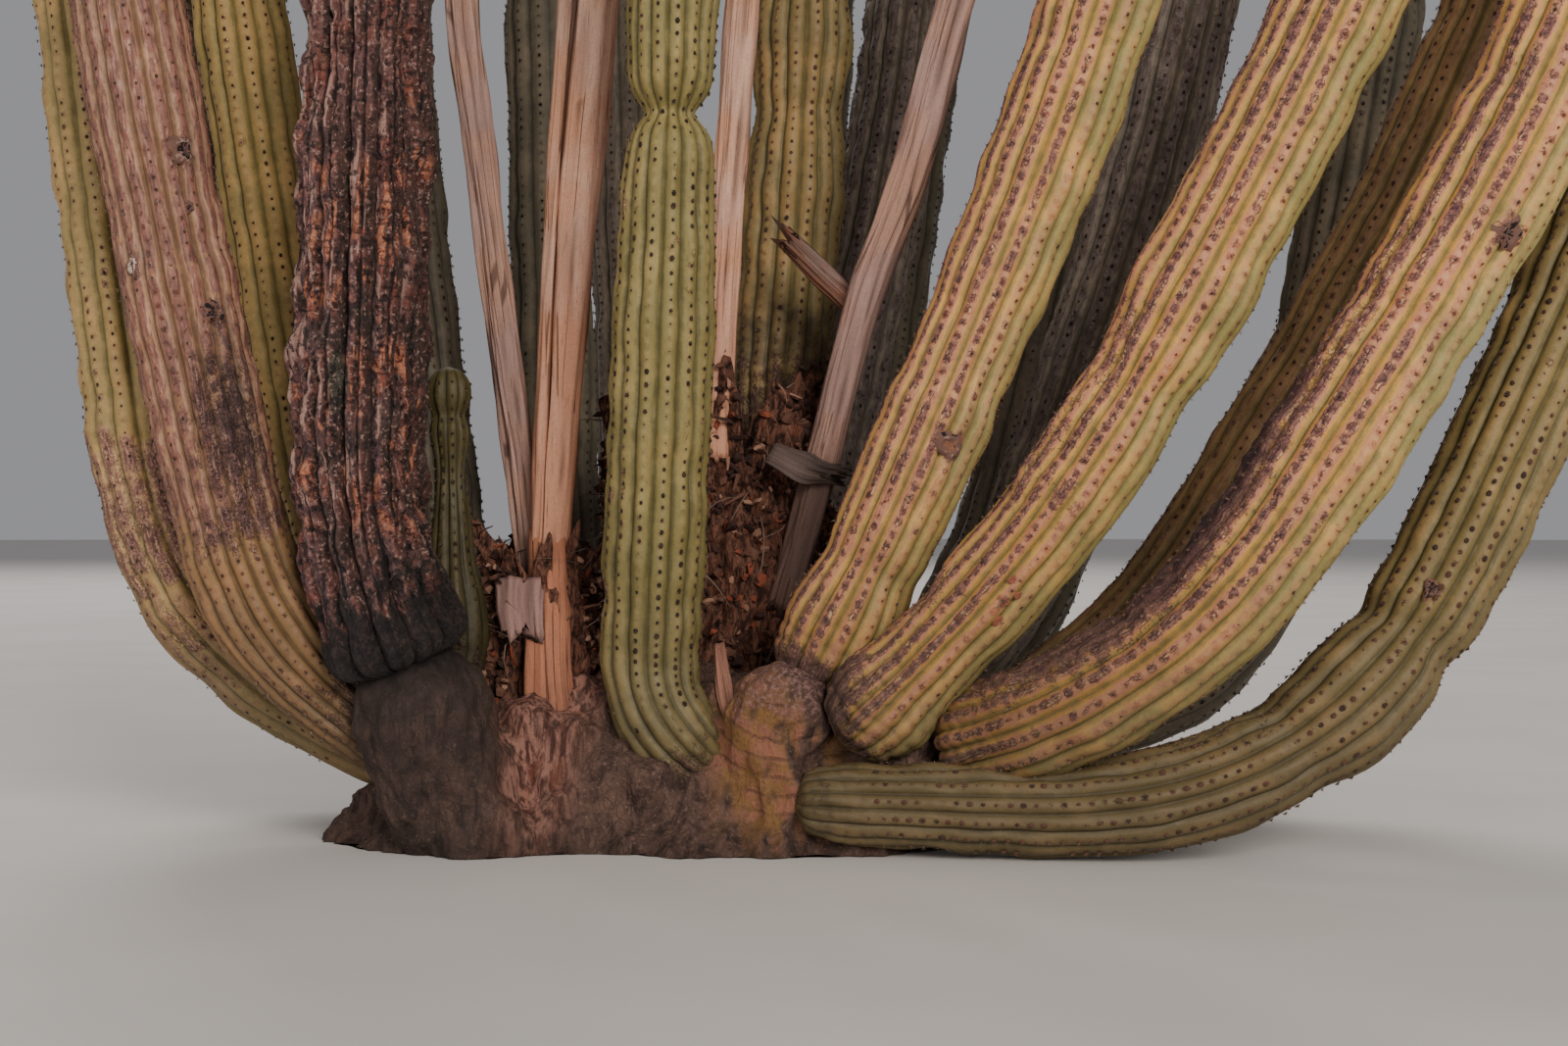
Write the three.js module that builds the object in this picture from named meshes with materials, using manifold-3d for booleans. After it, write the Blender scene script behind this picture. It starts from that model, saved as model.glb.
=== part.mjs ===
// Organ pipe cactus: one clump of ribbed arms that leave a low root mound, sweep out and climb.
// The rotten remains of an older stem stand in its middle, with bare woody ribs splaying from them.
// Millimetres, +Z up, +X to the right, +Y away from the front.
// The origin lies on the flat ground cut under the root mound.

import * as THREE from 'three';
import loadManifold from 'manifold-3d';

const library = await loadManifold();
library.setup();
const { Manifold, Mesh: SolidMesh } = library;

// Driving sizes

const GAP = 0.3;                // clear space between pieces that grow on each other
const STEP = 20;                // walking step along a limb's centre line
const UPRIGHT_LENGTH = 1700;    // length over which a shaft straightens after its bend
const RIB_DEPTH = 0.15;         // depth of the valleys between ribs, as a share of the radius
const SPLIT_SHARE = 0.55;       // place of the split between foot and shaft, as a share of the bend
const RING_SAG = 9;             // most sag of a straight face from the true curve between two rings
const RING_TURN = 24;           // most degrees of bend between two rings
const RING_LENGTH = 1500;       // most length between two rings
const RING_SWELL = 0.38;        // most change in thickness between two rings, as a share of the girth

const FOOT_SHARE = 0.55;        // girth left at the very end of a rounded foot
const FOOT_ROUNDING = 90;       // length over which a foot rounds off
const GROUND = 0;
const MOUND = {
  centre: [-45, 120],
  reach: [452, 325],
  height: 240,
  lobes: [[3, 0.1, -30], [5, 0.035, 75], [8, 0.025, 10]],
};

const COLOURS = {
  ochre: 0xa58c4b,
  yellowGreen: 0x8c8c4c,
  green: 0x787d41,
  greyGreen: 0x5f6650,
  scarred: 0x966e5f,
  charred: 0x4a302a,
  paleWood: 0xaa8269,
  greyWood: 0x7c6257,
  rot: 0x6e3c2d,
  bark: 0x5a4a44,
};

// Small helpers

const degrees = Math.PI / 180;

function ease(t) {
  const u = Math.min(Math.max(t, 0), 1);
  return u * u * (3 - 2 * u);
}

function mix(from, to, share) {
  return from + (to - from) * share;
}

function headingVector(heading, rise) {
  const level = Math.cos(rise * degrees);
  return new THREE.Vector3(
    level * Math.cos(heading * degrees),
    level * Math.sin(heading * degrees),
    Math.sin(rise * degrees),
  );
}

// The arms
// foot is where the centre line starts, sunk in the mound.
// heading turns from foot to bend, 0 is right and 90 is away. rise goes foot, bend, tip.
// run is a straight start, bend the length of the curve, height the height of the tip.
// pinch is the share of the girth left at the foot and the length over which it fills out.
// Each neck is its height, the share of the girth that is lost there, and its half length.

const ARMS = [
  {
    name: 'arm_left_barked', foot: [-415, -160, 245], heading: [190, 130], rise: [70, 93, 89],
    bend: 420, height: 3300, girth: 182, ribs: 13, pinch: [1.03, 1500], whole: true, colour: 'charred',
  },
  {
    name: 'arm_left_scarred', foot: [-412, -72, 122], heading: [190, 192], rise: [38, 78, 87],
    run: 70, bend: 420, height: 3650, girth: 158, ribs: 15, pinch: [0.74, 420], colour: 'scarred',
  },
  {
    name: 'arm_left_outer', foot: [-430, -5, 108], heading: [180, 172], rise: [29, 82, 88],
    run: 80, bend: 628, height: 3150, girth: 156, ribs: 14, pinch: [0.74, 450], colour: 'yellowGreen',
  },
  {
    name: 'arm_left_rear', foot: [-360, 115, 100], heading: [172, 160], rise: [50, 79, 88],
    run: 20, bend: 650, height: 3900, girth: 148, ribs: 14, pinch: [0.74, 450], colour: 'yellowGreen',
  },
  {
    name: 'arm_left_shaded', foot: [-285, 200, 125], heading: [160, 132], rise: [52, 77, 87],
    bend: 460, height: 3500, girth: 150, ribs: 14, pinch: [0.74, 450], colour: 'greyGreen',
  },
  {
    name: 'arm_centre_front', foot: [12, -70, 108], heading: [200, 115], rise: [38, 97, 88],
    bend: 250, height: 2700, girth: 148, ribs: 15, pinch: [0.8, 260],
    necks: [[1034, 0.38, 32], [1160, 0.13, 330]],
    whole: true, colour: 'green',
  },
  {
    name: 'arm_centre_rear', foot: [95, 330, 540], heading: [30, 60], rise: [84, 86, 89],
    bend: 900, height: 4200, girth: 162, ribs: 15, pinch: [0.78, 160], necks: [[1130, 0.12, 50]],
    whole: true, colour: 'yellowGreen',
  },
  {
    name: 'arm_centre_dark', foot: [100, 345, 190], heading: [60, 57], rise: [70, 66, 88],
    bend: 400, height: 3950, girth: 156, ribs: 14, pinch: [0.74, 300], whole: true, colour: 'greyGreen',
  },
  {
    name: 'arm_right_inner', foot: [153, -62, 225], heading: [-20, -8], rise: [62, 67, 88],
    bend: 500, height: 3900, girth: 172, ribs: 16, pinch: [0.86, 1500], whole: true, colour: 'ochre',
  },
  {
    name: 'arm_right_middle', foot: [206, -140, 160], heading: [-14, -9], rise: [44, 62, 89],
    bend: 830, height: 3600, girth: 166, ribs: 16, pinch: [0.84, 1200], colour: 'ochre',
  },
  {
    name: 'arm_right_front', foot: [366, -120, 150], heading: [-50, 2], rise: [14, 57, 83],
    bend: 665, height: 3350, girth: 174, ribs: 16, pinch: [0.88, 900], colour: 'ochre',
  },
  {
    name: 'arm_right_low', foot: [140, -170, 72], heading: [-8, 12], rise: [-1, 63, 85],
    run: 230, bend: 900, height: 2900, girth: 160, ribs: 15, pinch: [0.72, 900], colour: 'green',
  },
  {
    name: 'arm_right_shade', foot: [330, 62, 130], heading: [-5, -12], rise: [20, 58.5, 82],
    run: 20, bend: 560, height: 3500, girth: 150, ribs: 14, pinch: [0.74, 400], colour: 'greyGreen',
  },
  {
    name: 'arm_right_dark', foot: [300, 140, 160], heading: [10, 7], rise: [44, 70, 88],
    bend: 400, height: 4050, girth: 152, ribs: 14, pinch: [0.74, 300], colour: 'greyGreen',
  },
  {
    name: 'arm_right_rear', foot: [314, 229, 129], heading: [10, 14], rise: [4, 76, 88],
    run: 186, bend: 640, height: 3200, girth: 150, ribs: 14, pinch: [0.74, 500], colour: 'greyGreen',
  },
];

// The far side of the clump: arms that stand round the mound by their heading

const REAR_ARMS = [
  { name: 'arm_back_right', heading: [30, 27], rise: [20, 72, 88], bend: 650, height: 3550 },
  { name: 'arm_back_corner', heading: [46, 42], rise: [14, 70, 88], bend: 760, height: 3300 },
  { name: 'arm_back_tall', heading: [63, 62], rise: [42, 71, 88], bend: 900, height: 3750 },
  { name: 'arm_back_low', heading: [80, 77], rise: [10, 68, 87], bend: 880, height: 3000 },
  { name: 'arm_back_far', heading: [98, 101], rise: [12, 74, 88], bend: 720, height: 3450 },
  { name: 'arm_back_middle', heading: [118, 104], rise: [34, 79, 88], bend: 560, height: 4000 },
  { name: 'arm_back_left', heading: [137, 124], rise: [20, 77, 88], bend: 600, height: 3700 },
  { name: 'arm_back_outer', heading: [158, 154], rise: [14, 77, 88], bend: 760, height: 3300 },
];
const REAR_FOOT_SHARE = 0.76;     // how far out on the mound these feet start
const REAR_FOOT_HEIGHT = 105;
const REAR_GIRTH = 150;
const REAR_RIBS = 12;

// Lobes of the root mound: the smooth woody stump under the barked arm, the ridge that carries the
// right arms and the old ribbed knee below the inner right arm

const LOBES = [
  {
    points: [[-300, -95, -20], [-345, -115, 70], [-385, -140, 165], [-420, -160, 275]],
    girth: [235, 190], dome: 0.4, ribs: 8, ribDepth: 0.04,
  },
  { points: [[20, 0, 80], [180, -60, 100], [355, -115, 112]], girth: [180, 165], dome: 0.25, ribs: 8 },
  {
    points: [[90, -100, -20], [97, -112, 80], [100, -114, 160], [150, -108, 262]],
    girth: [176, 150], dome: 0.35, ribs: 11, ribDepth: 0.08,
  },
];

// Woody ribs of the dead stem. The points are the middle of each rib, foot first.

const DEAD_RIBS = [
  {
    name: 'dead_rib_left', width: [46, 50, 22], depth: 26, colour: 'greyWood',
    points: [[-262, 96, 330], [-276, 95, 480], [-313, 95, 760], [-352, 95, 1065], [-374, 95, 1250],
      [-396, 95, 1900]],
  },
  {
    name: 'dead_rib_pale', width: [58, 90, 34], depth: 40, groove: 0.45, colour: 'paleWood',
    points: [[-244, 48, 280], [-232, 50, 450], [-222, 50, 640], [-206, 50, 904], [-192, 50, 1079],
      [-178, 50, 1240], [-96, 40, 2250]],
  },
  {
    name: 'dead_rib_hidden', width: [50, 52, 26], depth: 26, colour: 'paleWood',
    points: [[8, 120, 560], [26, 100, 890], [52, 90, 1240], [92, 85, 1700]],
  },
  {
    name: 'dead_rib_right', width: [52, 60, 28], depth: 32, colour: 'greyWood',
    points: [[112, 96, 330], [170, 90, 545], [232, 88, 790], [302, 86, 985], [375, 84, 1250],
      [640, 80, 2080]],
  },
];

const SPLINTER = {
  name: 'dead_rib_splinter', width: [46, 42, 34], depth: 22, colour: 'greyWood',
  points: [[250, 104, 765], [184, 124, 829], [116, 134, 897]],
};

// Rotten stumps: a middle, a reach each way at the foot and at the top, and the height of the top

const ROTTEN_HEART = {
  centre: [5, 225], foot: [215, 165], top: [165, 118], base: 120, height: 640, ragged: 95, teeth: 13,
};
const ROTTEN_STUMP = {
  centre: [-250, 62], foot: [125, 100], top: [88, 66], base: 90, height: 410, ragged: 60, teeth: 9,
};

const PUP = {
  name: 'pup_left', foot: [-366, 0, 150], heading: [180, 180], rise: [88, 89, 89], bend: 300,
  height: 684, girth: 76, ribs: 10, pinch: [0.9, 60], necks: [[520, 0.36, 92], [618, 0.2, 18]],
  whole: true, colour: 'green',
};

// Swept ribbed limbs

function centreLine(limb) {
  const run = limb.run ?? 0;
  const points = [new THREE.Vector3(...limb.foot)];
  let walked = 0;
  while (points.at(-1).z < limb.height) {
    const along = walked + STEP / 2 - run;
    const turned = ease(along / limb.bend);
    const raised = ease((along - limb.bend) / UPRIGHT_LENGTH);
    const rise = mix(limb.rise[0], limb.rise[1], turned) + (limb.rise[2] - limb.rise[1]) * raised;
    const heading = mix(limb.heading[0], limb.heading[1], turned);
    points.push(points.at(-1).clone().addScaledVector(headingVector(heading, rise), STEP));
    walked += STEP;
  }
  return points;
}

function framesAlong(points) {
  const frames = [];
  let side = null;
  for (let i = 0; i < points.length; i += 1) {
    const before = points[Math.max(i - 1, 0)];
    const after = points[Math.min(i + 1, points.length - 1)];
    const way = after.clone().sub(before).normalize();
    if (side === null) {
      side = new THREE.Vector3(0, 0, 1).cross(way);
      if (side.length() < 0.2) {
        side.set(1, 0, 0);
      }
    }
    side = side.clone().addScaledVector(way, -side.dot(way)).normalize();
    frames.push({ at: points[i], way, side, up: way.clone().cross(side), along: i * STEP });
  }
  return frames;
}

function girthAt(limb, frame, total) {
  const [share, length] = limb.pinch;
  let girth = limb.girth * mix(share, 1, ease(frame.along / length));
  girth *= mix(FOOT_SHARE, 1, Math.sqrt(ease(frame.along / FOOT_ROUNDING)));
  for (const [height, loss, half] of limb.necks ?? []) {
    girth *= 1 - loss * Math.exp(-(((frame.at.z - height) / half) ** 2));
  }
  const dome = 0.62 * limb.girth;
  const left = (total - frame.along) / dome;
  if (left < 1) {
    girth *= Math.sqrt(Math.max(1 - (1 - left) ** 2, 0));
  }
  return girth;
}

// The step at which a limb is split into foot and shaft; its rings always stop there

function splitStep(limb) {
  return limb.whole ? 0 : Math.round(((limb.run ?? 0) + SPLIT_SHARE * limb.bend) / STEP);
}

function chooseRings(limb, frames, first, last) {
  const split = splitStep(limb);
  if (first < split && split < last) {
    return [...chooseRings(limb, frames, first, split), ...chooseRings(limb, frames, split, last).slice(1)];
  }
  const total = frames.at(-1).along;
  const chosen = [first];
  for (let i = first + 1; i < last; i += 1) {
    const recent = frames[chosen.at(-1)];
    const next = frames[i + 1];
    const turn = recent.way.angleTo(next.way);
    const sag = turn * (next.along - recent.along) / 8;
    const swell = Math.abs(girthAt(limb, next, total) - girthAt(limb, recent, total));
    const tooLong = next.along - recent.along > RING_LENGTH;
    const bent = sag > RING_SAG || turn > RING_TURN * degrees;
    if (bent || swell > RING_SWELL * limb.girth || tooLong) {
      chosen.push(i);
    }
  }
  chosen.push(last);
  return chosen;
}

function ribbedRing(limb, frame, girth, grow) {
  const ring = [];
  for (let i = 0; i < 2 * limb.ribs; i += 1) {
    const angle = Math.PI * i / limb.ribs;
    const valley = i % 2 === 1 ? limb.ribDepth ?? RIB_DEPTH : 0;
    const radius = girth / 2 * (1 - valley) + grow;
    ring.push(frame.at.clone()
      .addScaledVector(frame.side, radius * Math.cos(angle))
      .addScaledVector(frame.up, radius * Math.sin(angle)));
  }
  return ring;
}

// A closed skin over rings of equal count, with a point at each end

function loft(rings, footPoint, tipPoint) {
  const count = rings[0].length;
  const points = rings.flat();
  const faces = [];
  for (let row = 0; row + 1 < rings.length; row += 1) {
    for (let i = 0; i < count; i += 1) {
      const next = (i + 1) % count;
      const a = row * count + i;
      const b = row * count + next;
      faces.push(a, b, b + count, a, b + count, a + count);
    }
  }
  const foot = points.push(footPoint) - 1;
  const tip = points.push(tipPoint) - 1;
  const lastRow = (rings.length - 1) * count;
  for (let i = 0; i < count; i += 1) {
    const next = (i + 1) % count;
    faces.push(foot, next, i, tip, lastRow + i, lastRow + next);
  }
  const geometry = new THREE.BufferGeometry().setFromPoints(points);
  geometry.setIndex(faces);
  return geometry;
}

function toSolid(geometry) {
  return new Manifold(new SolidMesh({
    numProp: 3,
    vertProperties: new Float32Array(geometry.getAttribute('position').array),
    triVerts: new Uint32Array(geometry.getIndex().array),
  }));
}

function limbSolid(limb, first, to, grow = 0) {
  const frames = framesAlong(centreLine(limb));
  const end = frames.length - 1;
  const total = frames[end].along;
  const last = Math.min(to, end - 1);
  const stations = chooseRings(limb, frames, first, last);
  const rings = stations.map((i) => ribbedRing(limb, frames[i], girthAt(limb, frames[i], total), grow));
  const footFrame = frames[first];
  const split = first > 0 ? GAP : 0;
  if (split > 0) {
    rings[0].forEach((point) => point.addScaledVector(footFrame.way, split));
  }
  const footPoint = footFrame.at.clone().addScaledVector(footFrame.way, split);
  const tipFrame = frames[Math.min(to, end)];
  return toSolid(loft(rings, footPoint, tipFrame.at.clone().addScaledVector(tipFrame.way, grow)));
}

// Woody ribs: a flat slat whose width narrows to a slanted, broken tip

function slatSolid(rib, grow = 0) {
  const curve = new THREE.CatmullRomCurve3(rib.points.map((point) => new THREE.Vector3(...point)));
  const rows = rib.points.length + 2;
  const rings = [];
  for (let row = 0; row < rows; row += 1) {
    const share = row / (rows - 1);
    const at = curve.getPointAt(share);
    const way = curve.getTangentAt(share);
    const side = new THREE.Vector3(1, 0, 0).addScaledVector(way, -way.x).normalize();
    const up = way.clone().cross(side);
    const [footWidth, fullWidth, tipWidth] = rib.width;
    const rising = mix(footWidth, fullWidth, ease(2 * share));
    const full = mix(rising, tipWidth, ease(2 * share - 1));
    const width = full / 2 + grow;
    const depth = rib.depth / 2 * (0.4 + 0.6 * full / fullWidth) + grow;
    const groove = (rib.groove ?? 0) * depth;
    const outline = [[1, 0.35], [0.6, 1], [0, 0.92], [-0.35, 1], [-1, 0.5], [-0.9, -0.5], [-0.5, -1],
      [-0.38, -1 + groove / depth], [-0.22, -1], [0.7, -0.9]];
    const slant = row === rows - 1 ? 0.5 * tipWidth : 0;
    rings.push(outline.map(([x, y]) => at.clone()
      .addScaledVector(side, x * width)
      .addScaledVector(up, y * depth)
      .addScaledVector(way, slant * x)));
  }
  return toSolid(loft(rings, curve.getPointAt(0), curve.getPointAt(1)));
}

// Stumps and the root mound: rings of a lobed outline, stacked upward

function lobedReach(angle, lobes) {
  let share = 1;
  for (const [count, depth, turn] of lobes) {
    share += depth * Math.cos(count * (angle - turn * degrees));
  }
  return share;
}

function stackedSolid(centre, rows, sides, lobes, topOf, grow = 0) {
  const rings = rows.map(([height, reachX, reachY], row) => {
    const ring = [];
    for (let i = 0; i < sides; i += 1) {
      const angle = 2 * Math.PI * i / sides;
      const share = lobedReach(angle, lobes);
      const lift = row === 0 ? 0 : topOf(i, height);
      ring.push(new THREE.Vector3(
        centre[0] + (reachX * share + grow) * Math.cos(angle),
        centre[1] + (reachY * share + grow) * Math.sin(angle),
        height + lift + (row === 0 ? -grow : grow),
      ));
    }
    return ring;
  });
  const low = rows[0][0] - grow;
  const high = rows.at(-1)[0] + grow;
  return toSolid(loft(
    rings,
    new THREE.Vector3(centre[0], centre[1], low),
    new THREE.Vector3(centre[0], centre[1], high),
  ));
}

function stumpSolid(stump) {
  const { centre, foot, top, base, height, ragged, teeth } = stump;
  const rows = [0, 0.25, 0.55, 0.8, 1].map((share) => [
    mix(base, height, share),
    mix(foot[0], top[0], ease(share)),
    mix(foot[1], top[1], ease(share)),
  ]);
  rows.push([height - ragged * 0.9, top[0] * 0.55, top[1] * 0.55]);
  const tooth = (i) => (i % 2 === 0 ? 0.35 + 0.65 * ((i * 7) % 5) / 4 : -0.8);
  const jagged = (i, z) => (z === height ? ragged * tooth(i) : 0);
  return stackedSolid(centre, rows, 2 * teeth, [[4, 0.06, 30], [7, 0.04, 0]], jagged);
}

// A ragged form grown a little on every side, from copies of it moved by the gap

function grownByShifts(solid) {
  const moves = [[GAP, 0, 0], [-GAP, 0, 0], [0, GAP, 0], [0, -GAP, 0], [0, 0, GAP]];
  return Manifold.union(moves.map((move) => solid.translate(move)));
}

// A short thick lobe along a few points, with a domed end

function lobeSolid(lobe, grow = 0) {
  const curve = new THREE.CatmullRomCurve3(lobe.points.map((point) => new THREE.Vector3(...point)));
  const rows = 8;
  const rings = [];
  for (let row = 0; row < rows; row += 1) {
    const share = row / rows;
    const left = Math.min((1 - share) / lobe.dome, 1);
    const full = mix(lobe.girth[0], lobe.girth[1], share);
    const girth = full * Math.sqrt(1 - (1 - left) ** 2);
    const way = curve.getTangentAt(share);
    const side = new THREE.Vector3(0, 1, 0).cross(way).normalize();
    const frame = { at: curve.getPointAt(share), way, side, up: way.clone().cross(side) };
    rings.push(ribbedRing(lobe, frame, girth, grow));
  }
  const end = curve.getPointAt(1).addScaledVector(curve.getTangentAt(1), grow);
  return toSolid(loft(rings, curve.getPointAt(0), end));
}

function moundSolid(grow = 0) {
  const { centre, reach, height, lobes } = MOUND;
  const shape = [[-0.1, 1.1], [0, 1.09], [0.22, 1], [0.48, 0.94], [0.7, 0.83], [0.87, 0.66], [0.97, 0.42]];
  const rows = shape.map(([up, out]) => [up * height, reach[0] * out, reach[1] * out]);
  const body = stackedSolid(centre, rows, 32, lobes, () => 0, grow);
  const parts = [body, ...LOBES.map((lobe) => lobeSolid(lobe, grow))];
  return Manifold.union(parts).trimByPlane([0, 0, 1], GROUND);
}

// Assembly: each piece is cut clear of the grown forms of the pieces it grows out of or presses on

function overlaps(a, b) {
  const first = a.boundingBox();
  const second = b.boundingBox();
  const crosses = (axis) => first.min[axis] < second.max[axis] && second.min[axis] < first.max[axis];
  return [0, 1, 2].every(crosses);
}

function cutClear(solid, neighbours) {
  const cutters = neighbours.filter((neighbour) => overlaps(solid, neighbour));
  const left = cutters.length > 0 ? solid.subtract(Manifold.union(cutters)) : solid;
  const parts = left.trimByPlane([0, 0, 1], GROUND).decompose();
  return parts.reduce((best, part) => (part.volume() > best.volume() ? part : best)).simplify(0.05);
}

function toMesh(name, solid, colour) {
  const data = solid.getMesh();
  const indexed = new THREE.BufferGeometry();
  indexed.setAttribute('position', new THREE.BufferAttribute(data.vertProperties, 3));
  indexed.setIndex(Array.from(data.triVerts));
  const material = new THREE.MeshStandardMaterial({
    color: COLOURS[colour],
    roughness: 0.8,
    metalness: 0,
    flatShading: true,
  });
  const mesh = new THREE.Mesh(indexed, material);
  mesh.name = name;
  return mesh;
}

const plant = new THREE.Group();
const standing = [];

function addPiece(name, solid, grown, colour) {
  plant.add(toMesh(name, cutClear(solid, standing), colour));
  standing.push(grown);
}

function addLimb(limb) {
  if (limb.whole) {
    addPiece(limb.name, limbSolid(limb, 0, Infinity), limbSolid(limb, 0, Infinity, GAP), limb.colour);
    return;
  }
  const split = splitStep(limb);
  const foot = cutClear(limbSolid(limb, 0, split), standing);
  const shaft = cutClear(limbSolid(limb, split, Infinity), standing);
  plant.add(toMesh(`${limb.name}_foot`, foot, limb.colour));
  plant.add(toMesh(`${limb.name}_shaft`, shaft, limb.colour));
  standing.push(limbSolid(limb, 0, Infinity, GAP));
}

function rearLimb(row) {
  const angle = row.heading[0] * degrees;
  const [reachX, reachY] = MOUND.reach;
  const reach = REAR_FOOT_SHARE / Math.hypot(Math.cos(angle) / reachX, Math.sin(angle) / reachY);
  return {
    foot: [
      MOUND.centre[0] + reach * Math.cos(angle),
      MOUND.centre[1] + reach * Math.sin(angle),
      REAR_FOOT_HEIGHT,
    ],
    girth: REAR_GIRTH,
    ribs: REAR_RIBS,
    pinch: [0.74, 450],
    colour: 'greyGreen',
    ...row,
  };
}

addPiece('root_mound', moundSolid(), moundSolid(GAP), 'bark');
const heart = stumpSolid(ROTTEN_HEART);
const leftStump = stumpSolid(ROTTEN_STUMP);
addPiece('rotten_heart', heart, grownByShifts(heart), 'rot');
addPiece('rotten_stump_left', leftStump, grownByShifts(leftStump), 'rot');
for (const rib of [...DEAD_RIBS, SPLINTER]) {
  addPiece(rib.name, slatSolid(rib), slatSolid(rib, GAP), rib.colour);
}
for (const limb of [...ARMS, PUP, ...REAR_ARMS.map(rearLimb)]) {
  addLimb(limb);
}

export default plant;
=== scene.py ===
# Organ pipe cactus, dressed for rendering.
# Metres, +Z up, +X to the right, +Y away from the camera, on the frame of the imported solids.

import math
from dataclasses import dataclass
from itertools import combinations
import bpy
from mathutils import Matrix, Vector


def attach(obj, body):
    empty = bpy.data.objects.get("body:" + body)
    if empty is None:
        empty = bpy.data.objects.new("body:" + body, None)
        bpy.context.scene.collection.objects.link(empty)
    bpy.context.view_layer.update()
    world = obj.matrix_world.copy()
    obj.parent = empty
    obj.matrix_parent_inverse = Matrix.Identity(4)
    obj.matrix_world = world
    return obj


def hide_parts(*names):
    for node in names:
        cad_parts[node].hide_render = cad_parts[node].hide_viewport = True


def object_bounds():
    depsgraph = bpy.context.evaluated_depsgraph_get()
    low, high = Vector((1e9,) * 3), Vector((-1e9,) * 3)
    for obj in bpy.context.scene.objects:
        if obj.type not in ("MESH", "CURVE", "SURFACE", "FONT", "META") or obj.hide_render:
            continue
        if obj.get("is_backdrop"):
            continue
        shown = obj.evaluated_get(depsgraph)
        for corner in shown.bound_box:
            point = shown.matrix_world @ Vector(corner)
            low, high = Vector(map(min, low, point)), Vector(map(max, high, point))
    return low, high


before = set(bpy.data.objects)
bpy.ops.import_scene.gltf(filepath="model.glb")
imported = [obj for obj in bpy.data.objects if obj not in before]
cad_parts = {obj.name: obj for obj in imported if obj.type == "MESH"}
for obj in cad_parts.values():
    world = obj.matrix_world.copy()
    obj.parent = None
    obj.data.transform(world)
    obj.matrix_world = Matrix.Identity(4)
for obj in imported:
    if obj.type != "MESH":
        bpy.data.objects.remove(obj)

from types import SimpleNamespace

import bpy
import numpy as np

CAD_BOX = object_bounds()

# Driving sizes, as in the part's source

WALK = 0.006                 # walking step along a limb's centre line
SPARE_WALK = 1.6             # walked at most beyond a limb's height, because it leans
UPRIGHT_LENGTH = 1.7         # length over which a shaft straightens after its bend
RIB_DEPTH = 0.125            # depth of the valleys between ribs, as a share of the radius
FOOT_SHARE = 0.55            # girth left at the very end of a rounded foot
FOOT_ROUNDING = 0.07         # length over which a foot rounds off
DOME_SHARE = 0.62            # length of the domed tip, as a share of the girth
MOUND_CENTRE = (-0.045, 0.120)
MOUND_REACH = (0.452, 0.325)
MOUND_HEIGHT = 0.240
MOUND_LOBES = ((3, 0.1, -30), (5, 0.035, 75), (8, 0.025, 10))
MOUND_SHAPE = ((-0.1, 1.1), (0, 1.09), (0.22, 1), (0.48, 0.94), (0.7, 0.83), (0.87, 0.66), (0.97, 0.42))
STUMP_LOBES = ((4, 0.06, 30), (7, 0.04, 0))
SLAT = ((1, 0.35), (0.6, 1), (0, 0.92), (-0.35, 1), (-1, 0.5), (-0.9, -0.5), (-0.5, -1), (-0.38, -1),
        (-0.22, -1), (0.7, -0.9))

# Sizes of the finer work

AREOLE_STEP = 0.018          # distance between areoles along a rib
BARE_FOOT = 0.10             # length of a foot without areoles
BARE_TIP = 0.012
ABOVE_GROUND = 0.012         # height below which there are none
PHOTO_TOP = 1.25             # the photograph's upper edge, about
NEAR_HEIGHT = 1.5            # below this the skin is as fine as the photograph shows
REAR_NEAR_HEIGHT = 0.6       # the same for the far arms
REAR_WAISTS = 0.45           # lowest yearly waist of the far arms
YEARLY_GROWTH = (0.20, 0.46)
WAIST_DEPTH = (0.03, 0.075)
WAIST_HALF = (0.020, 0.040)
FAR_RING = 4                 # walking steps between rings above these heights
REAR_RING = 3                # walking steps between rings of the far arms lower down
DOME_RING = 2                # and between those of the domed tips
TIGHT_NECK = 0.06            # necks shorter than this pinch abruptly
BAND_STEP = 0.022            # how far the edge of a band is stepped from rib to rib
BAND_EDGE = 0.016            # how softly it ends
FOLD_STEP = 0.027            # distance between the creases of a folded foot
ACROSS = (-0.5, -0.42, -0.3, -0.15, 0.0, 0.15, 0.3, 0.42)     # points across a rib
REAR_ACROSS = (-0.5, -0.3, 0.0, 0.3)
BARK_ACROSS = tuple(step / 16 - 0.5 for step in range(16))
SUN = (-0.72, -0.38, 0.58)   # the side that years of sun have bleached and scarred
MOST_TRIANGLES = 190_000     # in one joined piece
SPINE_LENGTH = 26.0          # in spine radii
SPINE_RADIUS = (0.00018, 0.00027)
SPINE_LEAN = (0.35, 1.25)    # away from the skin's normal
GREY_SPINES = 0.6            # share of the commonest tone
NEAR_SPINES = 5              # spines of an areole in the photograph's part of the plant
FAR_SPINES = 3               # higher up
REAR_SPINES = 2              # on the far arms
KNOT_SIDES = 24
SLAT_ROW = 0.010             # distance between rings of a piece of wood
SLAT_GIRTH = 0.2             # its girth on the map of its grain
MOUND_VOXEL = 0.0052
WOODY_REACH = 0.15           # how far the smooth stump's wood spreads over the mound
KNEE_REACH = 0.13
ROT_REACH = 0.11
FLARE_HEIGHT = 0.16          # height up to which the mound's foot is fluted
FLUTES = 17
DENSE_LENGTH = 1.9           # length of a limb that is laid out in full size on its baking map
FAR_DENSITY = 0.4            # size of the rest
BAKE_CORNER = (0.985, 0.99)  # where the caps of a skin lie on its baking map
ROTTEN_CORNER = ((-0.27, -0.12, 0.02), (-0.235, -0.08, 0.14), (-0.22, -0.02, 0.24))
HOLLOW_PLACE = (0.025, -0.150, 0.110)    # the mound gives way at the front arm's foot
HOLLOW_REACH = 0.085
HOLLOW_DEPTH = 0.040
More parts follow.
